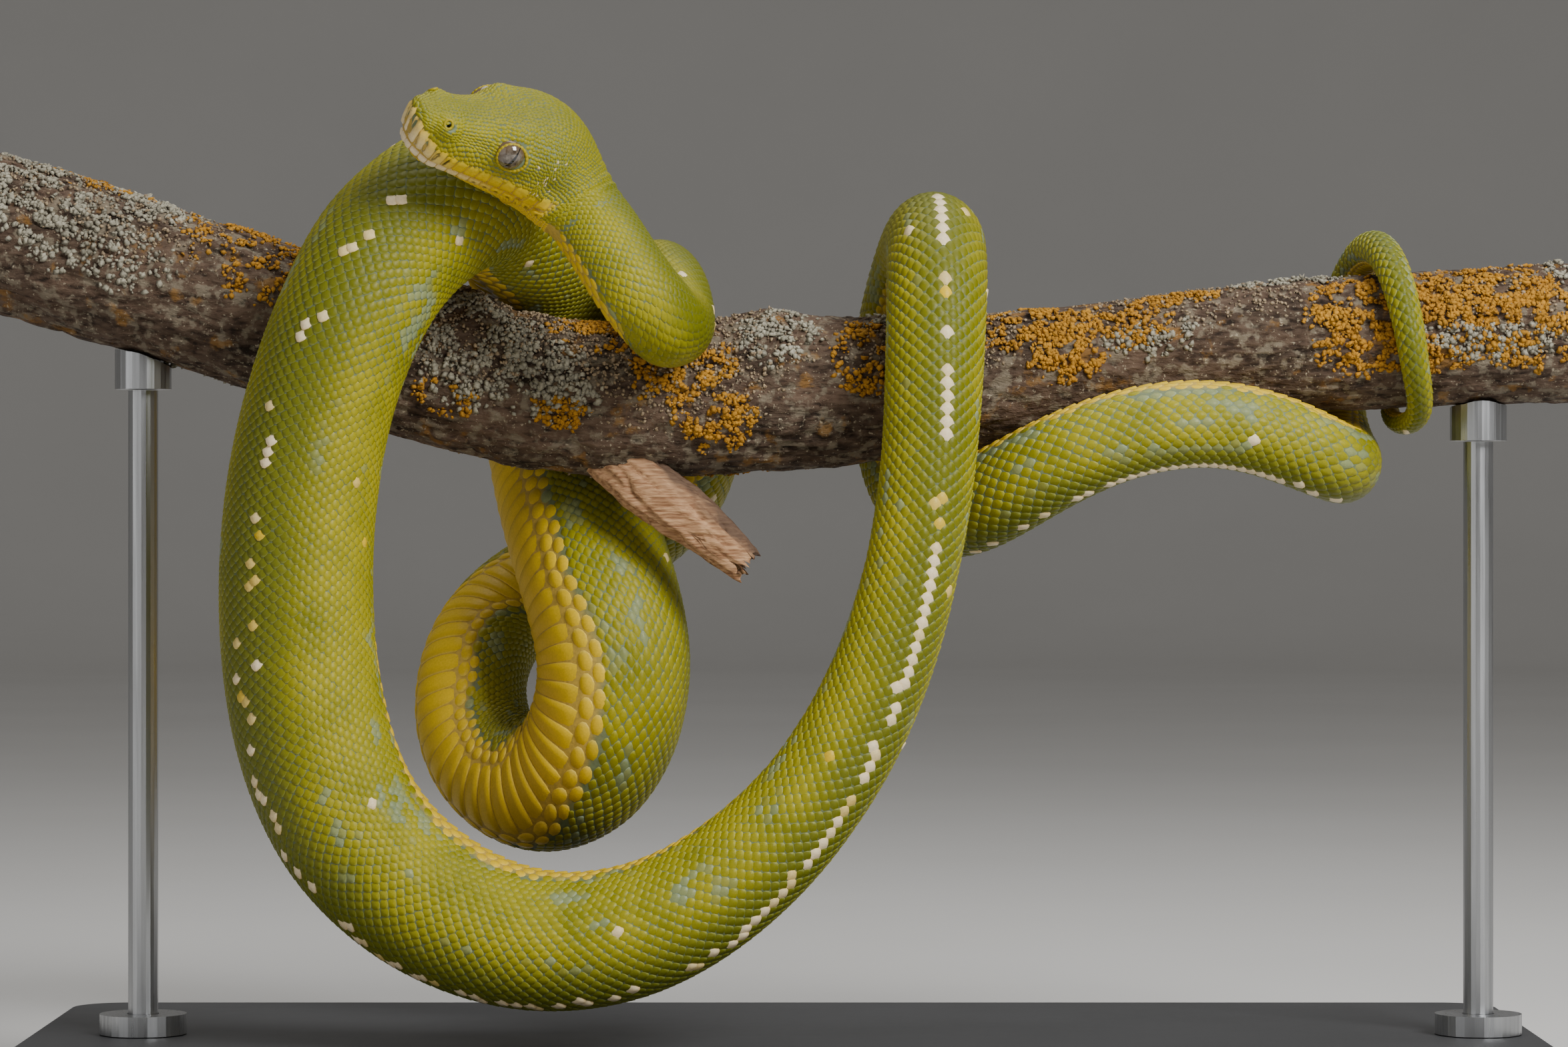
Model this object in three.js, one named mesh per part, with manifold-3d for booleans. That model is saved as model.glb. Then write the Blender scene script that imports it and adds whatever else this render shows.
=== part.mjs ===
// A green tree python, life size and still, looped over a cut length of branch on a plain display stand.
// Millimetres, +X to the viewer's right, +Y away from the viewer, +Z up. The base's underside is z = 0.
import * as THREE from 'three';
import Module from 'manifold-3d';
import { mergeVertices } from 'three/addons/utils/BufferGeometryUtils.js';

const wasm = await Module();
wasm.setup();

// ---------- Driving dimensions ----------

const cutGap = 0.3;        // clear gap where two lengths of the body meet
const hugGap = 0.6;        // clear gap between the body and the bark
const bodySides = 14;      // flats round the body
const headSides = 20;      // flats round the head
const ringStep = 13;       // spacing of the body's rings
const headRingStep = 3.6;  // spacing of the head's rings

// The branch: x, height of its middle, radius. It lies along X with its middle at y = 0.
const perchRows = [
  [-236, 252, 24.7],
  [-155, 227, 24.3],
  [-65, 203, 24],
  [-10, 203.5, 24.2],
  [60, 207.5, 21.2],
  [130, 216, 20.6],
  [236, 222, 21.6],
];
const perchSides = 20;
const perchStep = 16;
const barkDip = 0.5;       // how far the bark dips below its nominal radius
const barkSwing = [1.7, 2.3]; // how fast the dips change along the branch and round it
const saddleDepth = 0.72;  // each saddle reaches this share of the branch's radius below its middle

// The broken side shoot under the branch: where its middle runs, and its half-thickness.
const shootRows = [
  [-54, -6, 187, 8],
  [-44, -11, 178.5, 8.6],
  [-24, -14, 163, 8.2],
  [-9, -16, 151, 5],
];
const shootFlatten = 0.62; // its depth as a share of its height
const shootWide = [0.61, 0, 0.79]; // the direction of its broad side
const shootSides = 10;

// The head, from the tip of the snout back along its axis: distance, half-width, height above the axis
// and depth below it.
const headRows = [
  [0, 0.6, 0.6, 0.6],
  [1.2, 4.8, 2.4, 7.0],
  [3.6, 7.2, 3.8, 11.2],
  [7.5, 9.0, 5.2, 13.4],
  [14, 10.6, 6.6, 13.9],
  [21, 12.3, 8.3, 14.4],
  [28, 14.5, 10.8, 15.5],
  [36, 17.8, 13.4, 16.4],
  [44, 19.4, 14.8, 16.6],
  [52, 17.6, 13.9, 15.6],
  [60, 14.2, 12.3, 13.4],
  [68, 12.3, 12.0, 12.0],
  [76, 12.0, 12.0, 12.0],
];
const headSquareness = 2.4;          // exponent of the head's rounded-box section
const headOrigin = [-82, -72, 279];  // midway between the eyes
const headForward = [-0.79, -0.57, 0.206];
const headUp = [0.515, -0.456, 0.72];
const axisDrop = 4;                  // the head's axis runs this far below the line of the eyes
const snoutReach = 26.5;             // snout tip ahead of the eyes
const eyeRadius = 4.6;
const eyeSpread = 12.2;              // each eye's middle from the head's middle plane
const eyeShift = 0.9;                // the eyes sit this far back and down from that point
const eyeSides = 12;
const eyeRings = 8;
const headOverlap = 4;               // the head's solid runs this far past its last place
const snoutStart = 0.15;             // the first ring behind the snout's tip
const neckFade = 12;                 // the head's section fades into the body's over this length
const mouthReach = 40;               // half the width of the cut that parts the lower jaw
const eyeGap = 0.3;

// The mouth slit in the head's middle plane: distance behind the snout tip, height from the axis.
const mouthRows = [
  [-4, -6.6],
  [5, -9.4],
  [10, -10.8],
  [16, -10.6],
  [24, -9.4],
  [32, -9.4],
  [42, -8.6],
  [51, -8],
  [55, -8],
  [56.5, -13],
  [57.5, -24],
];

// The stand.
const baseSize = [450, 200, 12];
const baseCorner = 16;
const rodRadius = 4.5;
const rodPlaces = { left: -192, right: 208 };
const footRadius = 13;
const footHeight = 6;
const saddleRadius = 8.5;
const saddleHeight = 16;

// ---------- Small maths ----------

const vec = (row) => new THREE.Vector3(...row);

// A natural cubic spline through rows of values, one row to each knot, as a function of the knot value.
function splineThrough(knots, rows) {
  const n = knots.length;
  const gaps = knots.slice(1).map((k, i) => k - knots[i]);
  const columns = rows[0].map((_, c) => {
    const ys = rows.map((row) => row[c]);
    const sweep = [0];
    const load = [0];
    for (let i = 1; i < n - 1; i += 1) {
      const p = 2 * (gaps[i - 1] + gaps[i]) - gaps[i - 1] * sweep[i - 1];
      const turn = 6 * ((ys[i + 1] - ys[i]) / gaps[i] - (ys[i] - ys[i - 1]) / gaps[i - 1]);
      sweep[i] = gaps[i] / p;
      load[i] = (turn - gaps[i - 1] * load[i - 1]) / p;
    }
    const bends = new Array(n).fill(0);
    for (let i = n - 2; i > 0; i -= 1) bends[i] = load[i] - sweep[i] * bends[i + 1];
    return { ys, bends };
  });
  return (t) => {
    let j = 0;
    while (j < n - 2 && t > knots[j + 1]) j += 1;
    const h = gaps[j];
    const a = (knots[j + 1] - t) / h;
    const b = (t - knots[j]) / h;
    return columns.map(({ ys, bends }) => a * ys[j] + b * ys[j + 1]
      + ((a ** 3 - a) * bends[j] + (b ** 3 - b) * bends[j + 1]) * h * h / 6);
  };
}

// Straight-line values between rows.
function blendBetween(knots, rows) {
  return (t) => {
    let j = 0;
    while (j < knots.length - 2 && t > knots[j + 1]) j += 1;
    const share = THREE.MathUtils.clamp((t - knots[j]) / (knots[j + 1] - knots[j]), 0, 1);
    return rows[j].map((value, c) => value + (rows[j + 1][c] - value) * share);
  };
}

const perchAt = splineThrough(perchRows.map((row) => row[0]), perchRows.map((row) => row.slice(1)));

// ---------- The body's route ----------

// A place the body passes through in the air: its middle, its half-thickness and the way its back faces.
const air = (x, y, z, girth, back) => ({ at: [x, y, z], girth, back });

// A place where the body lies against the branch. The angle goes round the branch from the viewer's
// side (0) over the top (90) and down the far side (180). The back faces straight out from the bark
// unless another way is given.
function hug(x, angle, girth, back, lift = 0) {
  const [middle, radius] = perchAt(x);
  const reach = radius + girth + hugGap + lift;
  const outward = [0, -Math.cos(angle * Math.PI / 180), Math.sin(angle * Math.PI / 180)];
  return { at: [x, outward[1] * reach, middle + outward[2] * reach], girth, back: back ?? outward };
}

// The lengths of the body in order from the snout. Each starts at its first place and runs to the
// first place of the next.
const onAxis = (behindTip) => vec(headOrigin)
  .addScaledVector(vec(headForward).normalize(), snoutReach - behindTip)
  .addScaledVector(vec(headUp).normalize(), -axisDrop).toArray();
const headPlace = (behindTip) => ({ at: onAxis(behindTip), girth: 14, back: headUp });

const tailTurn = (from, to, count, xOf, girthOf) => Array.from({ length: count }, (_, i) => {
  const angle = from + (to - from) * i / count;
  return hug(xOf(angle), angle, girthOf(angle));
});
const tailX = (angle) => 184.4 - 0.085 * angle - 12 * THREE.MathUtils.smoothstep(-angle, 45, 130);
const tailShare = (angle) => THREE.MathUtils.clamp((angle + 190) / 370, 0, 1);
const tailGirth = (angle) => 1 + 5.4 * tailShare(angle) ** 0.6 + 3 * tailShare(angle) ** 12;

const lengths = [
  { name: 'head', places: [headPlace(0), headPlace(14), headPlace(28), headPlace(40)] },
  { name: 'neck_front', places: [
    air(-62.9, -57, 262.3, 11.9, [8, -3, 5]),
    air(-50.8, -59, 244.4, 12.1, [9, -2, 5]),
  ] },
  { name: 'neck_bend', places: [
    air(-41.6, -59, 230.6, 12.3, [9, -2, 4]),
    air(-35.6, -53, 224, 12.5, [9, -5, 0]),
    air(-32.8, -41, 223, 12.4, [9, -5, -1]),
  ] },
  { name: 'first_wrap_front', places: [
    air(-32.8, -29.5, 228, 12, [9, -5, 3]),
    hug(-34.5, 62, 11.7, [6, -3, 7]),
  ] },
  { name: 'first_wrap_back', places: [
    hug(-38, 88, 11.4, [5, 0, 9]),
    hug(-38, 112, 11.4, [5, 2, 8]),
    hug(-34, 137, 12, [3, 7, 6]),
  ] },
  { name: 'first_wrap_under', places: [hug(-28, 171, 12.8, [2, 10, 0], 2)] },
  { name: 'loop_entry', places: [
    air(-28, 53, 186, 13.8, [4, 9, -3]),
    air(-43, 71.5, 165, 14.6, [3, 7, -8]),
  ] },
  { name: 'loop_crossing', places: [air(-62, 77, 154, 15.4, [2, 9, -6])] },
  { name: 'loop_left_upper', places: [
    air(-79, 73, 144, 16.2, [5, 9, 1]),
    air(-92, 63, 131, 16.8, [6, 8, 2]),
  ] },
  { name: 'loop_left_lower', places: [
    air(-97, 52, 116, 17.2, [6, 8, 2]),
    air(-95, 44, 100, 18.2, [6, 8, 3]),
  ] },
  { name: 'loop_bottom', places: [
    air(-86, 35, 89, 19.6, [3, 8, 4]),
    air(-74, 25, 86, 21.2, [2, 9, 2]),
  ] },
  { name: 'loop_turn', places: [
    air(-62, 15, 92, 22.4, [6, 8, -2]),
    air(-54.5, 8, 105, 23, [8, 6, -1]),
  ] },
  { name: 'loop_right', places: [
    air(-52, 7, 123.5, 23.4, [8.5, 5, 0]),
    air(-56, 14, 143.5, 23.6, [9, 3, 1]),
    air(-62.5, 30, 163.5, 23.6, [9, 5, 2]),
  ] },
  { name: 'second_wrap_back', places: [
    hug(-68, 203, 23.6, [9, 4, 1], 2),
    hug(-71, 177, 23.4, [9, 3, 2], 2),
  ] },
  { name: 'second_wrap_over', places: [
    hug(-72, 150, 23.4, [9, 0, 4], 0.6),
    hug(-75, 122, 23.2, [8, -3, 6], 1),
  ] },
  { name: 'left_crest', places: [
    hug(-80, 93, 23, [7, -4, 7], 2.5),
    air(-91, -20, 262, 22.8, [4, -6, 7]),
  ] },
  { name: 'left_shoulder', places: [
    air(-103, -35, 256, 22.6, [0.5, -8.5, 5.5]),
    air(-115, -43, 244, 22.4, [-1.5, -9.5, 3]),
  ] },
  { name: 'left_front', places: [
    air(-125, -49, 226, 21.6, [-2.6, -9.5, 2]),
    air(-133.5, -50, 203, 21.6, [-3.6, -9.4, 1]),
  ] },
  { name: 'left_side', places: [air(-139.5, -50, 173.5, 22.2, [-4.6, -8.8, 0])] },
  { name: 'left_turn', places: [
    air(-141, -50, 140, 22.6, [-5.2, -8.5, 0]),
    air(-137, -50, 108, 22.8, [-7, -7, -3]),
  ] },
  { name: 'bottom_left', places: [air(-124.5, -50, 77.5, 22.6, [-6, -5, -6])] },
  { name: 'bottom_middle', places: [
    air(-103.5, -50, 57, 22, [-4, -4, -8]),
    air(-74.5, -50, 45.5, 20.8, [0, -4, -9]),
  ] },
  { name: 'bottom_right', places: [air(-44.5, -50, 47.5, 19.6, [2, -5, -8])] },
  { name: 'right_turn', places: [air(-16.5, -50, 62, 17.8, [4, -6, -6])] },
  { name: 'right_rise_lower', places: [air(8.3, -50, 86.7, 15.8, [5, -8, -4])] },
  { name: 'right_rise_middle', places: [air(26.5, -49, 118.5, 14.6, [5, -9, -2])] },
  { name: 'right_rise_upper', places: [
    air(37, -47, 152, 13.7, [4, -9, -1]),
    air(42, -44, 183.5, 14, [3, -9, 0]),
  ] },
  { name: 'third_wrap_front', places: [
    air(44, -38, 212.5, 14.6, [2, -9, 1]),
    hug(45, 48, 15, [1, -7, 6], 2.5),
  ] },
  { name: 'third_wrap_over', places: [
    hug(44.5, 90, 14.8, undefined, 5.5),
    hug(39.5, 131, 14.8, undefined, 1),
  ] },
  { name: 'third_wrap_back', places: [hug(35.5, 171, 14.6)] },
  { name: 'third_wrap_under', places: [
    hug(37, 210, 14.6),
    hug(45, 251, 14.6),
  ] },
  { name: 'right_run_entry', places: [
    hug(60, 290, 14.4, [0, -2, -9.7], 1),
    hug(76, 311, 14, [0, -3, -9.5], 1.5),
  ] },
  { name: 'right_run_middle', places: [hug(99.5, 324, 13.4, [0, -3, -9.5], 1)] },
  { name: 'right_run_end', places: [
    hug(126.5, 322, 13, [0, -3, -9.5]),
    hug(148.5, 308, 12.8, [0, -2.5, -9.7], 1.5),
  ] },
  { name: 'tail_root', places: [
    hug(163, 292, 12.2, [2, 0, -10], 4),
    hug(167.5, 263, 11.6, [3, 3, -9], 1.5),
  ] },
  { name: 'tail_back', places: [hug(167, 222, 10.2)] },
  { name: 'tail_over', places: tailTurn(180, 75, 3, tailX, tailGirth) },
  { name: 'tail_front', places: tailTurn(75, -60, 4, tailX, tailGirth) },
  { name: 'tail_tip', places: [...tailTurn(-60, -180, 4, tailX, tailGirth), hug(187, -186, 1.2)] },
];

// One smooth centre line through every place, measured along its chords.
const places = lengths.flatMap((length) => length.places);
const knots = [0];
for (let i = 1; i < places.length; i += 1) {
  knots.push(knots[i - 1] + vec(places[i].at).distanceTo(vec(places[i - 1].at)));
}
const middleAt = splineThrough(knots, places.map((place) => place.at));
const girthAt = blendBetween(knots, places.map((place) => [place.girth]));
const backAt = blendBetween(knots, places.map((place) => vec(place.back).normalize().toArray()));

// The body's own axes at a point of its route: along it towards the tail, its back and its left side.
function frameAt(t) {
  const ahead = 0.5;
  const middle = vec(middleAt(t));
  const along = vec(middleAt(t + ahead)).sub(vec(middleAt(t - ahead))).normalize();
  const back = vec(backAt(t));
  back.addScaledVector(along, -back.dot(along)).normalize();
  return { middle, along, back, left: along.clone().cross(back) };
}

// ---------- Closed solids from rings ----------

// Joins rings of equal count into one closed skin, with a fan over each end.
function solidFromRings(rings) {
  const sides = rings[0].length;
  const points = rings.flat();
  const middleOf = (ring) => ring.reduce((sum, p) => sum.add(p), new THREE.Vector3()).divideScalar(sides);
  const first = points.push(middleOf(rings[0])) - 1;
  const last = points.push(middleOf(rings.at(-1))) - 1;
  const faces = [];
  const end = (rings.length - 1) * sides;
  for (let s = 0; s < sides; s += 1) {
    const next = (s + 1) % sides;
    for (let r = 0; r < rings.length - 1; r += 1) {
      const a = r * sides + s;
      const b = r * sides + next;
      faces.push(a, b, b + sides, a, b + sides, a + sides);
    }
    faces.push(first, next, s, last, end + s, end + next);
  }
  const geometry = new THREE.BufferGeometry();
  geometry.setAttribute('position', new THREE.Float32BufferAttribute(points.flatMap((p) => p.toArray()), 3));
  geometry.setIndex(faces);
  return geometry;
}

// Equal shares from one value to another, both ends kept, no wider apart than the step.
function spaced(from, to, step) {
  const count = Math.max(1, Math.ceil((to - from) / step));
  return Array.from({ length: count + 1 }, (_, i) => from + (to - from) * i / count);
}

const turns = (sides) => Array.from({ length: sides }, (_, i) => i / sides * 2 * Math.PI);

// The body's section: a low ridge along the back and a flattened belly.
function bodyFullness(turn) {
  const up = Math.cos(turn);
  return up > 0 ? 1 + 0.035 * up ** 4 : 1 - 0.05 * up ** 2;
}

function bodyRing(t) {
  const { middle, back, left } = frameAt(t);
  const [girth] = girthAt(t);
  return turns(bodySides).map((turn) => middle.clone()
    .addScaledVector(back, Math.cos(turn) * girth * bodyFullness(turn))
    .addScaledVector(left, Math.sin(turn) * girth * bodyFullness(turn)));
}

const headShapeAt = splineThrough(headRows.map((row) => row[0]), headRows.map((row) => row.slice(1)));

function headSection(t, sides) {
  const { middle, back, left } = frameAt(t);
  const [width, above, below] = headShapeAt(Math.min(t, headRows.at(-1)[0]));
  return turns(sides).map((turn) => {
    const across = Math.sin(turn);
    const up = Math.cos(turn);
    const fullness = (Math.abs(across) ** headSquareness + Math.abs(up) ** headSquareness)
      ** (-1 / headSquareness);
    return middle.clone()
      .addScaledVector(back, up * fullness * (up > 0 ? above : below))
      .addScaledVector(left, across * fullness * width);
  });
}

function headRing(t) {
  return headSection(t, headSides);
}

// ---------- Booleans ----------

function manifoldOf(geometry) {
  const bare = geometry.clone();
  bare.deleteAttribute('normal');
  bare.deleteAttribute('uv');
  const merged = mergeVertices(bare, 1e-4);
  return new wasm.Manifold(new wasm.Mesh({
    numProp: 3,
    vertProperties: new Float32Array(merged.attributes.position.array),
    triVerts: new Uint32Array(merged.index.array),
  }));
}

function geometryOf(manifold) {
  const mesh = manifold.getMesh();
  const geometry = new THREE.BufferGeometry();
  geometry.setAttribute('position', new THREE.BufferAttribute(new Float32Array(mesh.vertProperties), 3));
  geometry.setIndex(new THREE.BufferAttribute(new Uint32Array(mesh.triVerts), 1));
  return geometry;
}

// ---------- Materials ----------

const finish = (color, roughness, metalness = 0) => new THREE.MeshStandardMaterial({
  color, roughness, metalness, flatShading: true,
});
const skin = finish('#93a51c', 0.5);
const eyeGlass = finish('#8d8377', 0.12);
const bark = finish('#5c5142', 0.95);
const basePaint = finish('#2b2c2e', 0.55);
const steel = finish('#a9abad', 0.35, 1);

const model = new THREE.Group();

function addPart(name, geometry, material) {
  const mesh = new THREE.Mesh(geometry, material);
  mesh.name = name;
  model.add(mesh);
  return mesh;
}

// ---------- Head, lower jaw and eyes ----------

const firstKnot = lengths.map((_, i) => knots[lengths.slice(0, i).flatMap((l) => l.places).length]);

function headSolid() {
  const rings = spaced(snoutStart, firstKnot[1] + headOverlap, headRingStep).map(headRing);
  rings.unshift(headRing(0));
  return manifoldOf(solidFromRings(rings));
}

// A thin upright sheet, bent as the mouth is and wide enough to part the whole head.
function mouthSheet() {
  const shape = new THREE.Shape();
  mouthRows.forEach(([behind, height], i) => {
    if (i === 0) shape.moveTo(-behind, height);
    else shape.lineTo(-behind, height);
  });
  [...mouthRows].reverse().forEach(([behind, height], i) => {
    const rearward = i < 2 ? cutGap : 0;
    shape.lineTo(-behind - rearward, height + cutGap);
  });
  const sheet = new THREE.ExtrudeGeometry(shape, { depth: 2 * mouthReach, bevelEnabled: false, steps: 1 });
  sheet.translate(0, 0, -mouthReach);
  const forward = vec(headForward).normalize();
  const up = vec(headUp).normalize();
  const axes = new THREE.Matrix4().makeBasis(forward, up, forward.clone().cross(up));
  axes.setPosition(vec(onAxis(0)));
  return manifoldOf(sheet.applyMatrix4(axes));
}

function eyeMiddle(side) {
  const forward = vec(headForward).normalize();
  const up = vec(headUp).normalize();
  const left = up.clone().cross(forward);
  return vec(headOrigin).addScaledVector(left, side * eyeSpread)
    .addScaledVector(forward, -eyeShift)
    .addScaledVector(up, -eyeShift);
}

function buildHead() {
  let whole = headSolid();
  for (const [name, side] of [['eye_left', 1], ['eye_right', -1]]) {
    const socket = new THREE.SphereGeometry(eyeRadius + eyeGap, eyeSides, eyeRings);
    socket.translate(...eyeMiddle(side));
    whole = whole.subtract(manifoldOf(socket));
    const eye = addPart(name, new THREE.SphereGeometry(eyeRadius, eyeSides, eyeRings), eyeGlass);
    eye.position.copy(eyeMiddle(side));
  }
  const pieces = whole.subtract(mouthSheet()).decompose()
    .sort((a, b) => b.volume() - a.volume());
  addPart('head', geometryOf(pieces[0]), skin);
  addPart('lower_jaw', geometryOf(pieces[1]), skin);
}

// ---------- The lengths of the body ----------

function buildBody() {
  lengths.forEach(({ name }, i) => {
    if (i === 0) return;
    const last = i === lengths.length - 1;
    const from = firstKnot[i] + cutGap / 2 + (i === 1 ? headOverlap : 0);
    const to = last ? knots.at(-1) : firstKnot[i + 1] - cutGap / 2;
    const rings = spaced(from, to, ringStep).map(i === 1 ? neckRing : bodyRing);
    addPart(name, solidFromRings(rings), skin);
  });
}

// Just behind the head the section is still the head's, and fades into the body's.
function neckRing(t) {
  const lastHead = headRows.at(-1)[0];
  const fade = THREE.MathUtils.smoothstep(t, lastHead - neckFade, lastHead);
  const body = bodyRing(t);
  return headSection(t, bodySides).map((point, i) => point.lerp(body[i], fade));
}

// ---------- Branch ----------

function perchSolid(extra = 0) {
  const rings = spaced(perchRows[0][0], perchRows.at(-1)[0], perchStep).map((x, r) => {
    const [middle, radius] = perchAt(x);
    return turns(perchSides).map((turn, s) => {
      const dip = barkDip * (0.5 + 0.5 * Math.sin(r * barkSwing[0] + s * barkSwing[1]));
      const reach = radius - dip + extra;
      return new THREE.Vector3(x, Math.sin(turn) * reach, middle + Math.cos(turn) * reach);
    });
  });
  return manifoldOf(solidFromRings(rings.map((ring) => ring.reverse())));
}

function shootSolid() {
  const lineAt = splineThrough([0, 1, 2, 3], shootRows);
  const rings = spaced(0, shootRows.length - 1, 0.5).map((t) => {
    const [x, y, z, half] = lineAt(t);
    return turns(shootSides).map((turn) => new THREE.Vector3(x, y, z)
      .addScaledVector(vec(shootWide), Math.cos(turn) * half)
      .addScaledVector(new THREE.Vector3(0, -1, 0), Math.sin(turn) * half * shootFlatten));
  });
  return manifoldOf(solidFromRings(rings));
}

function buildPerch() {
  addPart('perch', geometryOf(perchSolid().add(shootSolid())), bark);
}

// ---------- Stand ----------

function buildBase() {
  const [length, depth, height] = baseSize;
  const shape = new THREE.Shape();
  const x = length / 2 - baseCorner;
  const y = depth / 2 - baseCorner;
  shape.absarc(x, y, baseCorner, 0, Math.PI / 2);
  shape.absarc(-x, y, baseCorner, Math.PI / 2, Math.PI);
  shape.absarc(-x, -y, baseCorner, Math.PI, 1.5 * Math.PI);
  shape.absarc(x, -y, baseCorner, 1.5 * Math.PI, 2 * Math.PI);
  const slab = new THREE.ExtrudeGeometry(shape, { depth: height, bevelEnabled: false, curveSegments: 8 });
  addPart('stand_base', slab, basePaint);
}

// A rod from the base to a saddle that is hollowed to the branch.
function buildRod(side, x) {
  const top = baseSize[2] + cutGap;
  const saddleTop = perchAt(x)[0] - perchAt(x)[1] * saddleDepth;
  const saddleBottom = saddleTop - saddleHeight;
  const upright = (radius, from, to, sides) => new THREE.CylinderGeometry(radius, radius, to - from, sides)
    .rotateX(Math.PI / 2).translate(x, 0, (from + to) / 2);
  const foot = manifoldOf(upright(footRadius, top, top + footHeight, 28));
  const hole = manifoldOf(upright(rodRadius + cutGap, top - 1, top + footHeight + 1, 20));
  addPart(`stand_foot_${side}`, geometryOf(foot.subtract(hole)), steel);
  addPart(`stand_rod_${side}`, upright(rodRadius, top, saddleBottom - cutGap, 20), steel);
  const saddle = manifoldOf(upright(saddleRadius, saddleBottom, saddleTop, 24));
  addPart(`stand_saddle_${side}`, geometryOf(saddle.subtract(perchSolid(cutGap))), steel);
}

buildHead();
buildBody();
buildPerch();
buildBase();
for (const [side, x] of Object.entries(rodPlaces)) buildRod(side, x);

export default model;
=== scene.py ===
import math
import bpy
import numpy as np
from mathutils.bvhtree import BVHTree
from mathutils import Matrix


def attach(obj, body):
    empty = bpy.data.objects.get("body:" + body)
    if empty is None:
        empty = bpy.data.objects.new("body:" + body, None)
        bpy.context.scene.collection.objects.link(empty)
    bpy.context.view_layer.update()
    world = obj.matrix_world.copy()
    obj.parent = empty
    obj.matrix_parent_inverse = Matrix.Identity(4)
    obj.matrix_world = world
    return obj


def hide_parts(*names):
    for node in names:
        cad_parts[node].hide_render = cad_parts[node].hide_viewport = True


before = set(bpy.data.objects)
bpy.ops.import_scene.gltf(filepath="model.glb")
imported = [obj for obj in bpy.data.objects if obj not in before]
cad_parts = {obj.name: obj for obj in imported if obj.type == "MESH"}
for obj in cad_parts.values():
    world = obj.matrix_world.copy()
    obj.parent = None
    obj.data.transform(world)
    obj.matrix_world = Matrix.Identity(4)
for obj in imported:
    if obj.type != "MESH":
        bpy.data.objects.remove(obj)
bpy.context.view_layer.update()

mm = 0.001
print("frame loaded")


# Small maths, shared by every piece. Lengths in the tables are millimetres.
def splineThrough(knots, rows):
    knots = np.asarray(knots, float)
    rows = np.asarray(rows, float)
    count = len(knots)
    gaps = np.diff(knots)
    system = np.eye(count)
    load = np.zeros_like(rows)
    for i in range(1, count - 1):
        system[i, i - 1:i + 2] = gaps[i - 1], 2 * (gaps[i - 1] + gaps[i]), gaps[i]
        load[i] = 6 * ((rows[i + 1] - rows[i]) / gaps[i] - (rows[i] - rows[i - 1]) / gaps[i - 1])
    bends = np.linalg.solve(system, load)

    def at(t):
        t = np.asarray(t, float)
        j = np.clip(np.searchsorted(knots, t) - 1, 0, count - 2)
        h = gaps[j]
        a = ((knots[j + 1] - t) / h)[..., None]
        b = ((t - knots[j]) / h)[..., None]
        return (a * rows[j] + b * rows[j + 1]
                + ((a**3 - a) * bends[j] + (b**3 - b) * bends[j + 1]) * (h**2)[..., None] / 6)
    return at


def unit(v):
    return v / np.maximum(np.linalg.norm(v, axis=-1, keepdims=True), 1e-12)


def ease(x, low, high):
    s = np.clip((x - low) / (high - low), 0, 1)
    return s * s * (3 - 2 * s)


def mix(a, b, share):
    return a + (b - a) * share


def softNoise(u, v, seed, around=0):
    # smooth lattice noise from 0 to 1; v repeats after "around" cells when that is given
    cells = np.random.default_rng(seed).random((256, 256))
    i, j = np.floor(u).astype(int), np.floor(v).astype(int)
    fu, fv = u - i, v - j
    fu, fv = fu * fu * (3 - 2 * fu), fv * fv * (3 - 2 * fv)
    wrap = around if around else 256
    a, b = i % 256, (i + 1) % 256
    c, d = j % wrap, (j + 1) % wrap
    return mix(mix(cells[a, c], cells[b, c], fu), mix(cells[a, d], cells[b, d], fu), fv)


def layeredNoise(u, v, seed, around=0, layers=3):
    total, weight, size = 0, 0, 1
    for k in range(layers):
        total = total + softNoise(u * size, v * size, seed + k, around * size) / size
        weight += 1 / size
        size *= 2
    return total / weight


def ringQuads(rings, sides, first=0):
    # four-sided faces between closed rings that follow one another
    i, j = np.meshgrid(np.arange(rings - 1), np.arange(sides), indexing="ij")
    here, after = first + i.ravel() * sides, first + (i.ravel() + 1) * sides
    j = j.ravel()
    nextJ = (j + 1) % sides
    return np.c_[here + j, here + nextJ, after + nextJ, after + j]


def sheetQuads(rows, columns):
    # four-sided faces of an open grid of points
    i, j = np.meshgrid(np.arange(rows - 1), np.arange(columns - 1), indexing="ij")
    here, after = (i * columns + j).ravel(), ((i + 1) * columns + j).ravel()
    return np.c_[here, here + 1, after + 1, after]


turnedOver = [0, 3, 2, 1]               # the same four corners the other way round


def makeMesh(name, points, faces, material, colours=None, uv=None):
    # faces is a list of equal-width index arrays; points in millimetres
    mesh = bpy.data.meshes.new(name)
    points = np.asarray(points, np.float32) * mm
    loops = np.concatenate([f.ravel() for f in faces]).astype(np.int32)
    sizes = np.concatenate([np.full(len(f), f.shape[1]) for f in faces])
    starts = np.r_[0, np.cumsum(sizes)[:-1]].astype(np.int32)
    mesh.vertices.add(len(points))
    mesh.vertices.foreach_set("co", points.ravel())
    mesh.loops.add(len(loops))
    mesh.loops.foreach_set("vertex_index", loops)
    mesh.polygons.add(len(starts))
    mesh.polygons.foreach_set("loop_start", starts)
    mesh.polygons.foreach_set("use_smooth", np.ones(len(starts), bool))
    mesh.update(calc_edges=True)
    for label, values in (colours or {}).items():
        layer = mesh.color_attributes.new(label, "FLOAT_COLOR", "POINT")
        layer.data.foreach_set("color", np.c_[values, np.ones(len(values))].astype(np.float32).ravel())
    if uv is not None:
        mesh.uv_layers.new(name="OFBake").data.foreach_set("uv", uv[loops].astype(np.float32).ravel())
    mesh.materials.append(material)
    piece = bpy.data.objects.new(name, mesh)
    bpy.context.scene.collection.objects.link(piece)
    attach(piece, "root")
    return piece


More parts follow.
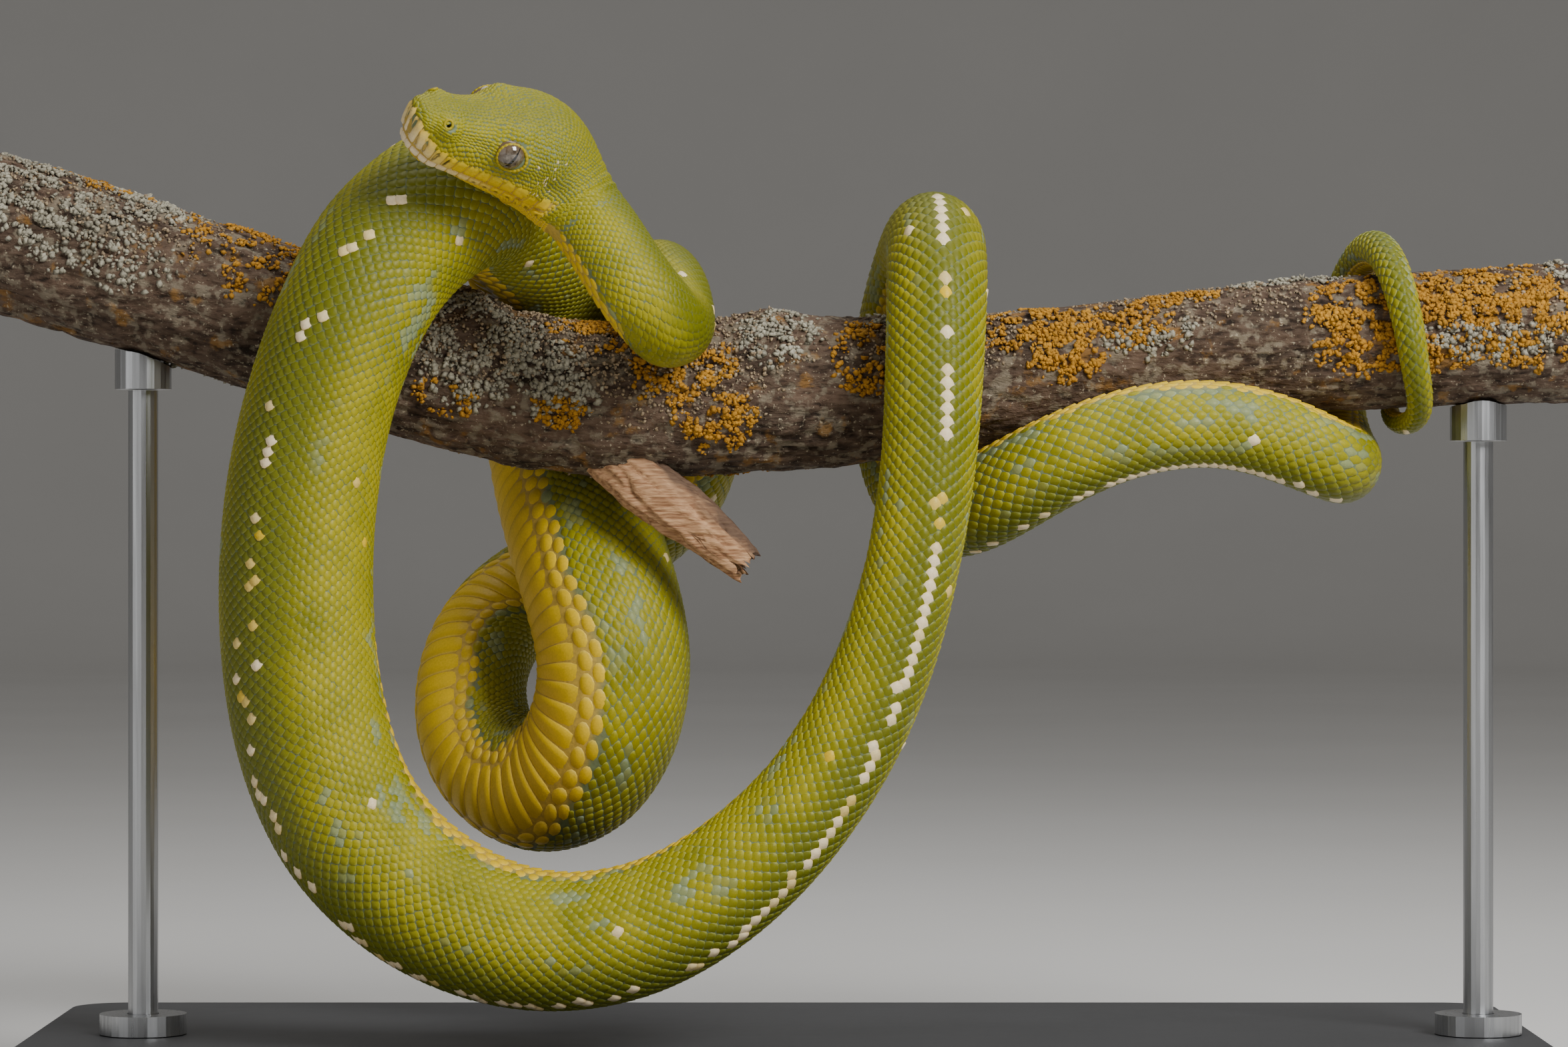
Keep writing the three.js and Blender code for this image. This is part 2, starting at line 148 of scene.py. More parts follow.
# Material helpers
def newMaterial(name):
    material = bpy.data.materials.new(name)
    material.use_nodes = True
    tree = material.node_tree
    return material, tree, tree.nodes["Principled BSDF"]


def addNode(tree, kind, **settings):
    node = tree.nodes.new("ShaderNode" + kind)
    for key, value in settings.items():
        if key in node.inputs:
            node.inputs[key].default_value = value
        else:
            setattr(node, key, value)
    return node


def mixColour(tree, factor, first, second):
    node = addNode(tree, "MixRGB", blend_type="MIX")
    for socket, value in zip(node.inputs, (factor, first, second)):
        if isinstance(value, bpy.types.NodeSocket):
            tree.links.new(value, socket)
        elif isinstance(value, (int, float)):
            socket.default_value = value
        else:
            socket.default_value = (*value, 1)
    return node.outputs[0]


def ramp(tree, value, stops):
    node = addNode(tree, "ValToRGB")
    tree.links.new(value, node.inputs[0])
    while len(node.color_ramp.elements) < len(stops):
        node.color_ramp.elements.new(0.5)
    for element, (place, grey) in zip(node.color_ramp.elements, stops):
        element.position = place
        element.color = (*grey, 1) if isinstance(grey, tuple) else (grey, grey, grey, 1)
    return node.outputs[0]


def noiseAt(tree, scale, detail, stretch=(1, 1, 1)):
    place = addNode(tree, "TexCoord")
    turn = addNode(tree, "Mapping")
    turn.inputs["Scale"].default_value = stretch
    noise = addNode(tree, "TexNoise", Scale=scale, Detail=detail, Roughness=0.55)
    tree.links.new(place.outputs["Object"], turn.inputs["Vector"])
    tree.links.new(turn.outputs[0], noise.inputs["Vector"])
    return noise.outputs["Fac"]


def addBump(tree, shader, height, strength, distance):
    bump = addNode(tree, "Bump", Strength=strength, Distance=distance)
    tree.links.new(height, bump.inputs["Height"])
    tree.links.new(bump.outputs[0], shader.inputs["Normal"])


# The branch's line: along it, height of its middle, radius
branch = {
    "rows": [(-236, 252, 24.7), (-155, 227, 24.3), (-65, 203, 24), (-10, 203.5, 24.2),
             (60, 207.5, 21.2), (130, 216, 20.6), (236, 222, 21.6)],
    "step": 1.25,
    "sides": 120,
    "seed": 11,
}
branchAt = splineThrough([r[0] for r in branch["rows"]], [r[1:] for r in branch["rows"]])

# The snake's own sizes
snake = {
    "hugGap": 0.6,
    "headMiddle": (-82, -72, 279),      # midway between the eyes
    "headForward": (-0.79, -0.57, 0.206),
    "headUp": (0.515, -0.456, 0.72),
    "axisDrop": 4,
    "snoutReach": 26.5,
    "eyeSpread": 12.2,
    "eyeShift": 0.9,                    # the eyes sit this far back and down from the middle
    "eyeRadius": 4.6,
    "coatDepth": 0.35,                  # the skin lies this far inside the solids
}
headRows = [                            # behind the tip, half width, above, below
    (0, 0.6, 0.6, 0.6), (1.2, 4.8, 2.4, 7.0), (3.6, 7.2, 3.8, 11.2), (7.5, 9.0, 5.2, 13.4),
    (14, 10.6, 6.6, 13.9), (21, 12.3, 8.3, 14.4), (28, 14.5, 10.8, 15.5), (36, 17.8, 13.4, 16.4),
    (44, 19.4, 14.8, 16.6), (52, 17.6, 13.9, 15.6), (60, 14.2, 12.3, 13.4), (68, 12.3, 12.0, 12.0),
    (76, 12.0, 12.0, 12.0),
]
headForward = unit(np.array(snake["headForward"]))
headUp = unit(np.array(snake["headUp"]))
headLeft = np.cross(headUp, headForward)
headMiddle = np.array(snake["headMiddle"], float)


def air(x, y, z, girth, back):
    return (x, y, z), girth, back


def hug(x, angle, girth, back=None, lift=0):
    middle, radius = branchAt(x)
    reach = radius + girth + snake["hugGap"] + lift
    turn = math.radians(angle)
    out = (0, -math.cos(turn), math.sin(turn))
    return (x, out[1] * reach, middle + out[2] * reach), girth, back or out


def onHead(behind):
    place = headMiddle + headForward * (snake["snoutReach"] - behind) - headUp * snake["axisDrop"]
    return tuple(place), 14, snake["headUp"]


def tailTurn(start, end, count):
    places = []
    for i in range(count):
        angle = start + (end - start) * i / count
        share = min(max((angle + 190) / 370, 0), 1)
        across = 184.4 - 0.085 * angle - 12 * float(ease(-angle, 45, 130))
        places.append(hug(across, angle, 1 + 5.4 * share**0.6 + 3 * share**12))
    return places


places = [
    *[onHead(behind) for behind in (0, 14, 28, 40)],
    air(-62.9, -57, 262.3, 11.9, (8, -3, 5)), air(-50.8, -59, 244.4, 12.1, (9, -2, 5)),
    air(-41.6, -59, 230.6, 12.3, (9, -2, 4)), air(-35.6, -53, 224, 12.5, (9, -5, 0)),
    air(-32.8, -41, 223, 12.4, (9, -5, -1)), air(-32.8, -29.5, 228, 12, (9, -5, 3)),
    hug(-34.5, 62, 11.7, (6, -3, 7)), hug(-38, 88, 11.4, (5, 0, 9)), hug(-38, 112, 11.4, (5, 2, 8)),
    hug(-34, 137, 12, (3, 7, 6)), hug(-28, 171, 12.8, (2, 10, 0), 2),
    air(-28, 53, 186, 13.8, (4, 9, -3)), air(-43, 71.5, 165, 14.6, (3, 7, -8)),
    air(-62, 77, 154, 15.4, (2, 9, -6)), air(-79, 73, 144, 16.2, (5, 9, 1)),
    air(-92, 63, 131, 16.8, (6, 8, 2)), air(-97, 52, 116, 17.2, (6, 8, 2)),
    air(-95, 44, 100, 18.2, (6, 8, 3)), air(-86, 35, 89, 19.6, (3, 8, 4)),
    air(-74, 25, 86, 21.2, (2, 9, 2)), air(-62, 15, 92, 22.4, (6, 8, -2)),
    air(-54.5, 8, 105, 23, (8, 6, -1)), air(-52, 7, 123.5, 23.4, (8.5, 5, 0)),
    air(-56, 14, 143.5, 23.6, (9, 3, 1)), air(-62.5, 30, 163.5, 23.6, (9, 5, 2)),
    hug(-68, 203, 23.6, (9, 4, 1), 2), hug(-71, 177, 23.4, (9, 3, 2), 2),
    hug(-72, 150, 23.4, (9, 0, 4), 0.6), hug(-75, 122, 23.2, (8, -3, 6), 1),
    hug(-80, 93, 23, (7, -4, 7), 2.5), air(-91, -20, 262, 22.8, (4, -6, 7)),
    air(-103, -35, 256, 22.6, (0.5, -8.5, 5.5)), air(-115, -43, 244, 22.4, (-1.5, -9.5, 3)),
    air(-125, -49, 226, 21.6, (-2.6, -9.5, 2)), air(-133.5, -50, 203, 21.6, (-3.6, -9.4, 1)),
    air(-139.5, -50, 173.5, 22.2, (-4.6, -8.8, 0)), air(-141, -50, 140, 22.6, (-5.2, -8.5, 0)),
    air(-137, -50, 108, 22.8, (-7, -7, -3)), air(-124.5, -50, 77.5, 22.6, (-6, -5, -6)),
    air(-103.5, -50, 57, 22, (-4, -4, -8)), air(-74.5, -50, 45.5, 20.8, (0, -4, -9)),
    air(-44.5, -50, 47.5, 19.6, (2, -5, -8)), air(-16.5, -50, 62, 17.8, (4, -6, -6)),
    air(8.3, -50, 86.7, 15.8, (5, -8, -4)), air(26.5, -49, 118.5, 14.6, (5, -9, -2)),
    air(37, -47, 152, 13.7, (4, -9, -1)), air(42, -44, 183.5, 14, (3, -9, 0)),
    air(44, -38, 212.5, 14.6, (2, -9, 1)), hug(45, 48, 15, (1, -7, 6), 2.5),
    hug(44.5, 90, 14.8, None, 5.5), hug(39.5, 131, 14.8, None, 1), hug(35.5, 171, 14.6),
    hug(37, 210, 14.6), hug(45, 251, 14.6), hug(60, 290, 14.4, (0, -2, -9.7), 1),
    hug(76, 311, 14, (0, -3, -9.5), 1.5), hug(99.5, 324, 13.4, (0, -3, -9.5), 1),
    hug(126.5, 322, 13, (0, -3, -9.5)), hug(148.5, 308, 12.8, (0, -2.5, -9.7), 1.5),
    hug(163, 292, 12.2, (2, 0, -10), 4), hug(167.5, 263, 11.6, (3, 3, -9), 1.5),
    hug(167, 222, 10.2), *tailTurn(180, 75, 3), *tailTurn(75, -60, 4), *tailTurn(-60, -180, 4),
    hug(187, -186, 1.2),
]
middles = np.array([p[0] for p in places], float)
knots = np.r_[0, np.cumsum(np.linalg.norm(np.diff(middles, axis=0), axis=1))]
bodyEnd = float(knots[-1])
middleAt = splineThrough(knots, middles)
girthList = [p[1] for p in places]
backList = unit(np.array([p[2] for p in places], float))
headShapeAt = splineThrough([r[0] for r in headRows], [r[1:] for r in headRows])

# How sharply the route bends, and which way, looked up along it
routeSteps = np.arange(0, bodyEnd, 1.0)
routeAlong = unit(middleAt(routeSteps + 0.5) - middleAt(routeSteps - 0.5))
routeBend = np.gradient(routeAlong, axis=0)
for axis in range(3):
    routeBend[:, axis] = np.convolve(routeBend[:, axis], np.ones(9) / 9, "same")


def girthAt(t):
    return np.interp(t, knots, girthList)


def bodyFrame(t):
    along = unit(middleAt(t + 0.5) - middleAt(t - 0.5))
    back = np.stack([np.interp(t, knots, backList[:, k]) for k in range(3)], -1)
    back = unit(back - along * (back * along).sum(-1, keepdims=True))
    return middleAt(t), along, back, np.cross(along, back)


# Relief of the head over its plain form: brow, eye mound, nostril, temple and the mouth's corner
headDetail = {
    "eyeMound": 1.3, "eyeMoundWidth": 5.4, "brow": 2.2, "browWidth": 3.4, "jawAngle": 2.2,
    "nostrilPlace": (8.0, 8.2, 3.3), "nostrilMound": 1.9, "nostrilWidth": 3.1, "nostrilHole": 2.6,
    "mouthDepth": 0.9, "mouthWidth": 0.55,
}
mouthRows = [(-4, -6.6), (5, -9.4), (10, -10.8), (16, -10.6), (24, -9.4), (32, -9.4), (42, -8.6), (51, -8.0),
             (54, -7.4), (57, -6.0), (60, -5.0)]


def mouthHeight(t):
    return np.interp(t, [r[0] for r in mouthRows], [r[1] for r in mouthRows])


def awayFromEye(t, up):
    return np.hypot(t - snake["snoutReach"] - snake["eyeShift"], up - snake["axisDrop"] + snake["eyeShift"])


def headRelief(t, across, up):
    side = np.abs(across)
    eyeAway = awayFromEye(t, up)
    outer = ease(side, 5, 9)
    relief = headDetail["eyeMound"] * np.exp(-(eyeAway / headDetail["eyeMoundWidth"])**4) * outer
    browAway = np.hypot((t - 28) / 1.6, np.hypot(up - 9.3, side - 9.8))
    relief += headDetail["brow"] * np.exp(-(browAway / headDetail["browWidth"])**2)
    relief += headDetail["jawAngle"] * np.exp(-((t - 59) / 5)**2 - ((side - 11) / 6)**2 - ((up + 6) / 6)**2)
    alongNose, sideNose, upNose = headDetail["nostrilPlace"]
    noseAway = np.sqrt((t - alongNose)**2 + (side - sideNose)**2 + (up - upNose)**2)
    relief += headDetail["nostrilMound"] * np.exp(-(noseAway / headDetail["nostrilWidth"])**2)
    relief -= headDetail["nostrilHole"] * np.exp(-(noseAway / 0.85)**4)
    lipAway = up - mouthHeight(t)
    nearMouth = ease(60 - t, 0, 6)
    relief -= headDetail["mouthDepth"] * np.exp(-(lipAway / headDetail["mouthWidth"])**2) * nearMouth
    relief -= 1.0 * np.exp(-((t - 49) / 9)**2 - ((up - 1.5) / 3.0)**2) * ease(side, 9, 14)
    relief -= 0.8 * np.exp(-((t - 33) / 6)**2) * np.exp(-(side / 2.4)**2) * ease(up, 4, 8)
    relief -= 0.7 * np.exp(-((t - 17) / 7)**2) * np.exp(-((up - 2.2) / 2.2)**2) * outer
    wrinkles = np.sin(t * 2.1 + np.sin(up * 0.5) * 1.5)
    relief += 0.22 * wrinkles * np.exp(-((t - 62) / 6)**2)
    return relief


def surfaceAt(t, turn, lift):
    # a point on the body, turned from the back towards the left side
    # lift is measured from the outside of the solid
    middle, along, back, left = bodyFrame(t)
    up, across = np.cos(turn), np.sin(turn)
    girth = girthAt(t) * np.where(up > 0, 1 + 0.035 * up**4, 1 - 0.05 * up**2)
    bend = np.stack([np.interp(t, routeSteps, routeBend[:, k]) for k in range(3)], -1)
    out = back * up[..., None] + left * across[..., None]
    squeeze = (bend * out).sum(-1) * girth
    folds = 0.5 - 0.5 * np.cos(t * 2 * math.pi / 5.2 + 0.8 * np.sin(turn * 2))
    girth = girth - 1.5 * ease(squeeze, 0.42, 0.85) * folds
    girth = np.where(squeeze > 0.9, girth * 0.9 / np.maximum(squeeze, 0.9), girth)
    x, y = across * girth, up * girth
    inHead = t < 76
    if inHead.any():
        width, above, below = np.moveaxis(headShapeAt(np.minimum(t, 76)), -1, 0)
        power = mix(2.4, 2.0, ease(t, 38, 54))
        full = (np.abs(across)**power + np.abs(up)**power)**(-1 / power)
        headX = across * full * width
        headY = up * full * np.where(up > 0, above, below)
        grow = 1 + headRelief(t, headX, headY) / np.maximum(np.hypot(headX, headY), 1.5)
        share = np.where(inHead, 1 - ease(t, 64, 76), 0)
        x, y = mix(x, headX * grow, share), mix(y, headY * grow, share)
    place = middle + back * y[..., None] + left * x[..., None]
    outward = unit(back * y[..., None] + left * x[..., None])
    blunt = np.where(t < 9, (1 - t / 9)**2 * 1.6, 0)
    outward = unit(outward - along * blunt[..., None])
    return place + outward * np.asarray(lift)[..., None], squeeze


print("route ready: %.2f m of snake" % (bodyEnd * mm))

# Markings, the same on skin and scales: yellow, white and blue shares, then shade of the back
marks = {
    "bellyEdge": 130,                   # degrees from the back where yellow starts
    "edgeDrift": 9,
    "bluePatches": 0.70,                # patch noise above this goes blue
    "seed": 40,
}
# White and yellow spots along the back: distance, how many, spacing, degrees off the ridge, whiteness
spotRuns = [
    (118, 2, 4, 8, 0.5), (688, 2, 3, 0, 0.9), (701, 3, 3, 0, 0.55),
    (722, 3, 3, 0, 0.75), (748, 1, 3, 0, 0.4), (757, 4, 2.6, 0, 0.8), (780, 2, 3, -2, 0.4),
    (791, 3, 3, -2, 0.2), (808, 2, 4, 0, 0.3), (818, 2, 3, 0, 0.7), (826, 3, 3, 0, 0.3), (840, 1, 3, 0, 0.9),
    (848, 3, 2.6, 0, 0.9), (858, 2, 3, 0, 0.6), (867, 4, 2.6, 0, 0.95), (885, 3, 3, 0, 0.8),
    (894, 2, 3, 0, 0.4), (900, 4, 2.8, 0, 0.95), (911, 1, 3, 0, 0.3), (918, 4, 2.8, 0, 0.95),
    (930, 4, 3, 0, 0.7), (941, 3, 3, 0, 0.85),
    (954, 2, 3, 0, 0.9), (971, 2, 3, 0, 0.3), (979, 3, 3, 0, 0.95), (989, 3, 3, 0, 0.85), (998, 4, 3, 0, 0.5),
    (1010, 4, 3, 0, 0.9), (1021, 3, 3, 0, 0.7), (1029, 2, 3, 0, 0.2), (1037, 3, 3, 0, 1.0),
    (1044, 2, 3, 0, 0.6), (1055, 2, 3.4, 0, 0.8), (1064, 4, 3.4, 0, 0.8), (1077, 2, 3.4, 0, 0.5),
    (1082, 4, 3.2, 0, 1.0), (1094, 3, 3.4, 0, 0.95), (1103, 1, 3.4, 0, 0.3), (1113, 3, 3.4, 0, 0.1),
    (1136, 3, 3.6, 0, 1.0), (1147, 3, 3.6, 0, 1.0), (1165, 1, 3.6, 0, 0.95), (1174, 1, 3.6, 0, 0.3),
    (1179, 1, 3.6, 0, 0.4), (1187, 3, 3.6, 0, 0.8), (1193, 3, 3.6, 0, 0.95), (1203, 2, 3.6, 0, 0.9),
    (1300, 12, 9, 0, 0.9), (1386, 20, 3.7, 0, 0.95), (1460, 3, 9, 2, 0.8), (1655, 1, 4, 20, 1.0),
]
strays = np.random.default_rng(marks["seed"])
spots = []
for start, count, spacing, off, whiteness in spotRuns:
    for k in range(count):
        spots.append((start + k * spacing, math.radians(off + strays.normal(0, 4.5 if start < 1000 else 1.2)),
                      np.clip(whiteness + strays.normal(0, 0.12), 0, 1)))
for k in range(46):                     # lone pale scales on the flanks
    spots.append((strays.uniform(90, 1500), strays.choice([-1, 1]) * strays.uniform(0.5, 1.9),
                  np.clip(strays.normal(0.55, 0.3), 0, 1)))
spots = np.array(spots)


def marksAt(t, turn):
    away = np.degrees(np.abs(turn))
    drift = 2 * layeredNoise(t / 14, turn * 1.5 + 30, marks["seed"]) - 1
    edge = np.where(t < 70, 136 - 0.22 * np.clip(t, 0, 50), marks["bellyEdge"] + marks["edgeDrift"] * drift)
    yellow = ease(away, edge - 4, edge + 4)
    nearHead = np.clip(t, 0.3, 62)
    lipGap = headCoords(nearHead, turn)[1] - mouthHeight(nearHead)
    yellow = np.maximum(yellow, ease(5.0 - lipGap, 0, 1.5) * ease(62 - t, 0, 4))
    patches = layeredNoise(t / 11, turn * 4.5 + 40, marks["seed"] + 5)
    nearBelly = ease(away, 70, 118)
    underRun = ease(t, 1340, 1370) * ease(1500 - t, 0, 40)
    level = marks["bluePatches"] - 0.07 * nearBelly - 0.05 * underRun
    blue = ease(patches, level, level + 0.07) * ease(away, 22, 50) * (1 - yellow) * ease(t, 80, 240)
    return yellow, np.zeros_like(yellow), blue, 0.45 * (1 - ease(away, 12, 60))


def addSpots(t, turn, yellow, white):
    # each spot colours the scale nearest to it, and makes it bigger
    girth = girthAt(t)
    grow = np.ones(len(t))
    for place, side, whiteness in spots:
        near = np.where(np.abs(t - place) < 5)[0]
        if len(near) == 0:
            continue
        gap = np.hypot(t[near] - place, (turn[near] - side) * girth[near])
        best = near[np.argmin(gap)]
        if gap.min() < 2.8:
            white[best] = whiteness
            yellow[best] = max(yellow[best], 1 - 0.5 * whiteness)
            grow[best] = 1.12 + 0.14 * whiteness
    return grow


# The skin: one closed surface from snout to tail tip, finer on the head
skinSizes = {"headStep": 0.6, "headSides": 192, "bodySides": 48, "bodyStep": 3.0, "join": 66.0}


def buildSkin(material):
    fine = skinSizes["headSides"] // skinSizes["bodySides"]
    rings = np.r_[np.linspace(0.25, 4, 14), np.arange(4.5, skinSizes["join"], skinSizes["headStep"])]
    bodyRings = np.arange(skinSizes["join"] + 1.2, bodyEnd - 0.6, skinSizes["bodyStep"])
    points, marksList = [], []
    for stations, sides in ((rings, skinSizes["headSides"]), (bodyRings, skinSizes["bodySides"])):
        t, turn = np.meshgrid(stations, np.arange(sides) / sides * 2 * math.pi - math.pi, indexing="ij")
        t, turn = t.ravel(), turn.ravel()
        points.append(surfaceAt(t, turn, np.full(len(t), -snake["coatDepth"]))[0])
        marksList.append(np.c_[marksAt(t, turn)])
    tips = [middleAt(np.array(0.0)) - routeAlong[0] * 0.1, middleAt(np.array(bodyEnd - 0.2))]
    points = np.vstack([*points, *tips])
    values = np.vstack([*marksList, np.zeros((2, 4))])
    headCount, headSides, bodySides = len(rings), skinSizes["headSides"], skinSizes["bodySides"]

    bodyFirst = headCount * headSides
    headQuads = ringQuads(headCount, headSides)
    quads = np.vstack([headQuads, ringQuads(len(bodyRings), bodySides, bodyFirst)])
    snout, tail = len(points) - 2, len(points) - 1
    j = np.arange(headSides)
    triangles = [np.c_[np.full(headSides, snout), (j + 1) % headSides, j]]
    lastHead = (headCount - 1) * headSides
    owner = bodyFirst + ((j + fine // 2) // fine) % bodySides
    triangles.append(np.c_[lastHead + j, lastHead + (j + 1) % headSides, owner])
    k = np.arange(bodySides)
    hinge = lastHead + (k * fine + fine // 2) % headSides
    triangles.append(np.c_[hinge, bodyFirst + (k + 1) % bodySides, bodyFirst + k])
    lastBody = bodyFirst + (len(bodyRings) - 1) * bodySides
    triangles.append(np.c_[np.full(bodySides, tail), lastBody + k, lastBody + (k + 1) % bodySides])
    shades = np.c_[np.full(len(values), 1.0), np.full(len(values), 0.5), values[:, 3]]
    piece = makeMesh("python_skin", points, [quads, np.vstack(triangles)], material,
                     colours={"marks": values[:, :3], "shades": shades})
    # the small pieces of the head are set on this surface
    return BVHTree.FromPolygons(points[:bodyFirst].tolist(), headQuads.tolist()), piece


# The scales. One template plate: outline, raised rim and a crown; its rear edge is free and lifted.
scaleShape = {
    "small": [(1.0, 0.20), (0.56, 0.68), (-0.02, 1.0), (-0.98, 0.24)],
    "round": [(1.0, 0.26), (0.70, 0.72), (0.22, 0.98), (-0.34, 0.94), (-0.86, 0.50)],
    "rimShare": 0.84,
    "thick": 0.46,
    "patch": 0.003,                     # how wide a scale is on the map
}


def plateTemplate(kind):
    half = np.array(scaleShape[kind])
    outline = np.vstack([half, half[::-1] * (1, -1)])
    count = len(outline)
    rim = outline * scaleShape["rimShare"] + (0.03, 0)
    lean = 0.5 + 0.5 * outline[:, 0]    # 0 at the tucked front, 1 at the free rear
    dome = 0.75 if kind == "round" else 0.42
    along = np.r_[outline[:, 0], rim[:, 0], 0.0]
    side = np.r_[outline[:, 1], rim[:, 1], 0]
    front = 0.22 if kind == "round" else -0.10
    height = np.r_[-0.40 + 0.52 * lean, front + (0.66 - front) * lean, dome]
    # edge share, highest at the free rear edge, sets the pale rim: partly the scale's own paler edge, partly
    # painted highlight
    edge = np.r_[0.25 + 0.75 * lean, 0.75 * lean**2, 0]
    k = np.arange(count)
    wall = np.c_[k, count + k, count + (k + 1) % count, (k + 1) % count]
    crown = np.c_[count + k, np.full(count, 2 * count), count + (k + 1) % count]
    return along, side, height, edge, wall, crown


def platesMesh(name, material, t, turn, halfLength, halfSpan, thick, marksRows, spanT, kind="small"):
    along, side, height, edge, wall, crown = plateTemplate(kind)
    count, corners = len(t), len(along)
    allT = t[:, None] + along * halfLength[:, None]
    allTurn = turn[:, None] + side * halfSpan[:, None]
    lift = -snake["coatDepth"] + height * thick[:, None]
    points, _ = surfaceAt(np.clip(allT, 0.2, bodyEnd - 0.3).ravel(), allTurn.ravel(), lift.ravel())
    first = (np.arange(count) * corners)[:, None, None]
    faces = [(first + wall).reshape(-1, 4), (first + crown).reshape(-1, 3)]
    rows = np.repeat(marksRows, corners, axis=0)
    shades = np.c_[np.tile(edge, count), rows[:, 3], rows[:, 4]]
    start, end = spanT
    root = np.c_[(turn + math.pi) / (2 * math.pi) * 0.98 + 0.01, (t - start) / (end - start) * 0.98 + 0.01]
    uv = np.repeat(root, corners, axis=0) + np.tile(np.c_[side, along] * scaleShape["patch"] / 2, (count, 1))
    return makeMesh(name, points, faces, material, colours={"marks": rows[:, :3], "shades": shades}, uv=uv)


coat = {
    "start": 62.0,
    "pitch": [(60, 1.7), (110, 2.4), (240, 2.9), (900, 3.1), (1080, 3.5), (1500, 3.5), (1640, 2.9),
              (1700, 1.6)],
    "across": [(60, 1.25), (110, 1.55), (240, 1.8), (900, 1.96), (1080, 2.1), (1500, 2.05), (1640, 1.6),
               (1700, 0.8)],
    "flankEnd": 124,                    # degrees from the back where the small rows end
    "gapShare": 0.10,                   # how much narrower the flank scales are than the ridge ones
    "cuts": [62, 420, 700, 900, 1120, 1704],
    "seed": 3,
}


def buildCoat(material):
    pitchRows, acrossRows = np.array(coat["pitch"]), np.array(coat["across"])
    flankEnd = math.radians(coat["flankEnd"])
    allT, allTurn, halves, spans = [], [], [], []
    t, row = coat["start"], 0
    while t < bodyEnd - 1.2:
        pitch = np.interp(t, pitchRows[:, 0], pitchRows[:, 1])
        across = np.interp(t, acrossRows[:, 0], acrossRows[:, 1])
        step = 2 * across / girthAt(t)
        count = int(2 * flankEnd / step + 1)
        count -= (count + row) % 2
        turns = (np.arange(count) - (count - 1) / 2) * step
        allT.append(np.full(count, t))
        allTurn.append(turns)
        halves.append(np.full(count, pitch * 0.535))
        narrow = 1 - coat["gapShare"] * ease(np.abs(turns), 0.5, 1.3)
        spans.append(step * 0.5 * 0.86 * narrow)
        t += pitch / 2
        row += 1
    t, turn = np.concatenate(allT), np.concatenate(allTurn)
    half, span = np.concatenate(halves), np.concatenate(spans)
    shake = np.random.default_rng(coat["seed"])
    t = t + shake.normal(0, 0.06, len(t))
    turn = turn + shake.normal(0, 0.004, len(t))
    size = shake.normal(1, 0.03, len(t))
    _, squeeze = surfaceAt(t, turn, np.zeros(len(t)))
    half = half * size * np.clip(1 / np.maximum(1 - squeeze, 0.3), 0.9, 1.15)
    yellow, white, blue, dark = marksAt(t, turn)
    grow = addSpots(t, turn, yellow, white)
    half, span = half * grow, span * (1 + 1.3 * (grow - 1))
    tone = shake.random(len(t))
    thick = scaleShape["thick"] * np.clip(half / 1.6, 0.35, 1.1) * (1 + 3.0 * (grow - 1))
    rows = np.c_[yellow, white, blue, tone, dark]
    pieces = []
    for k, (low, high) in enumerate(zip(coat["cuts"], coat["cuts"][1:])):
        pick = (t >= low if k else t > 0) & (t < high)
        pieces.append(platesMesh("scales_%d" % (k + 1), material, t[pick], turn[pick], half[pick], span[pick],
                                 thick[pick], rows[pick], (low - 2, high + 2)))
        print("scales_%d:" % (k + 1), int(pick.sum()))
    return pieces


# Belly: wide plates down the underside, and a row of big rounded scales along each of their ends
belly = {
    "start": 70.0, "pitch": 5.4, "fullGirth": 22, "halfTurn": 35, "stepsAcross": 11,
    "edgeTurns": (40.5, 50.8), "edgeSpans": (6.4, 5.2), "seed": 8,
}


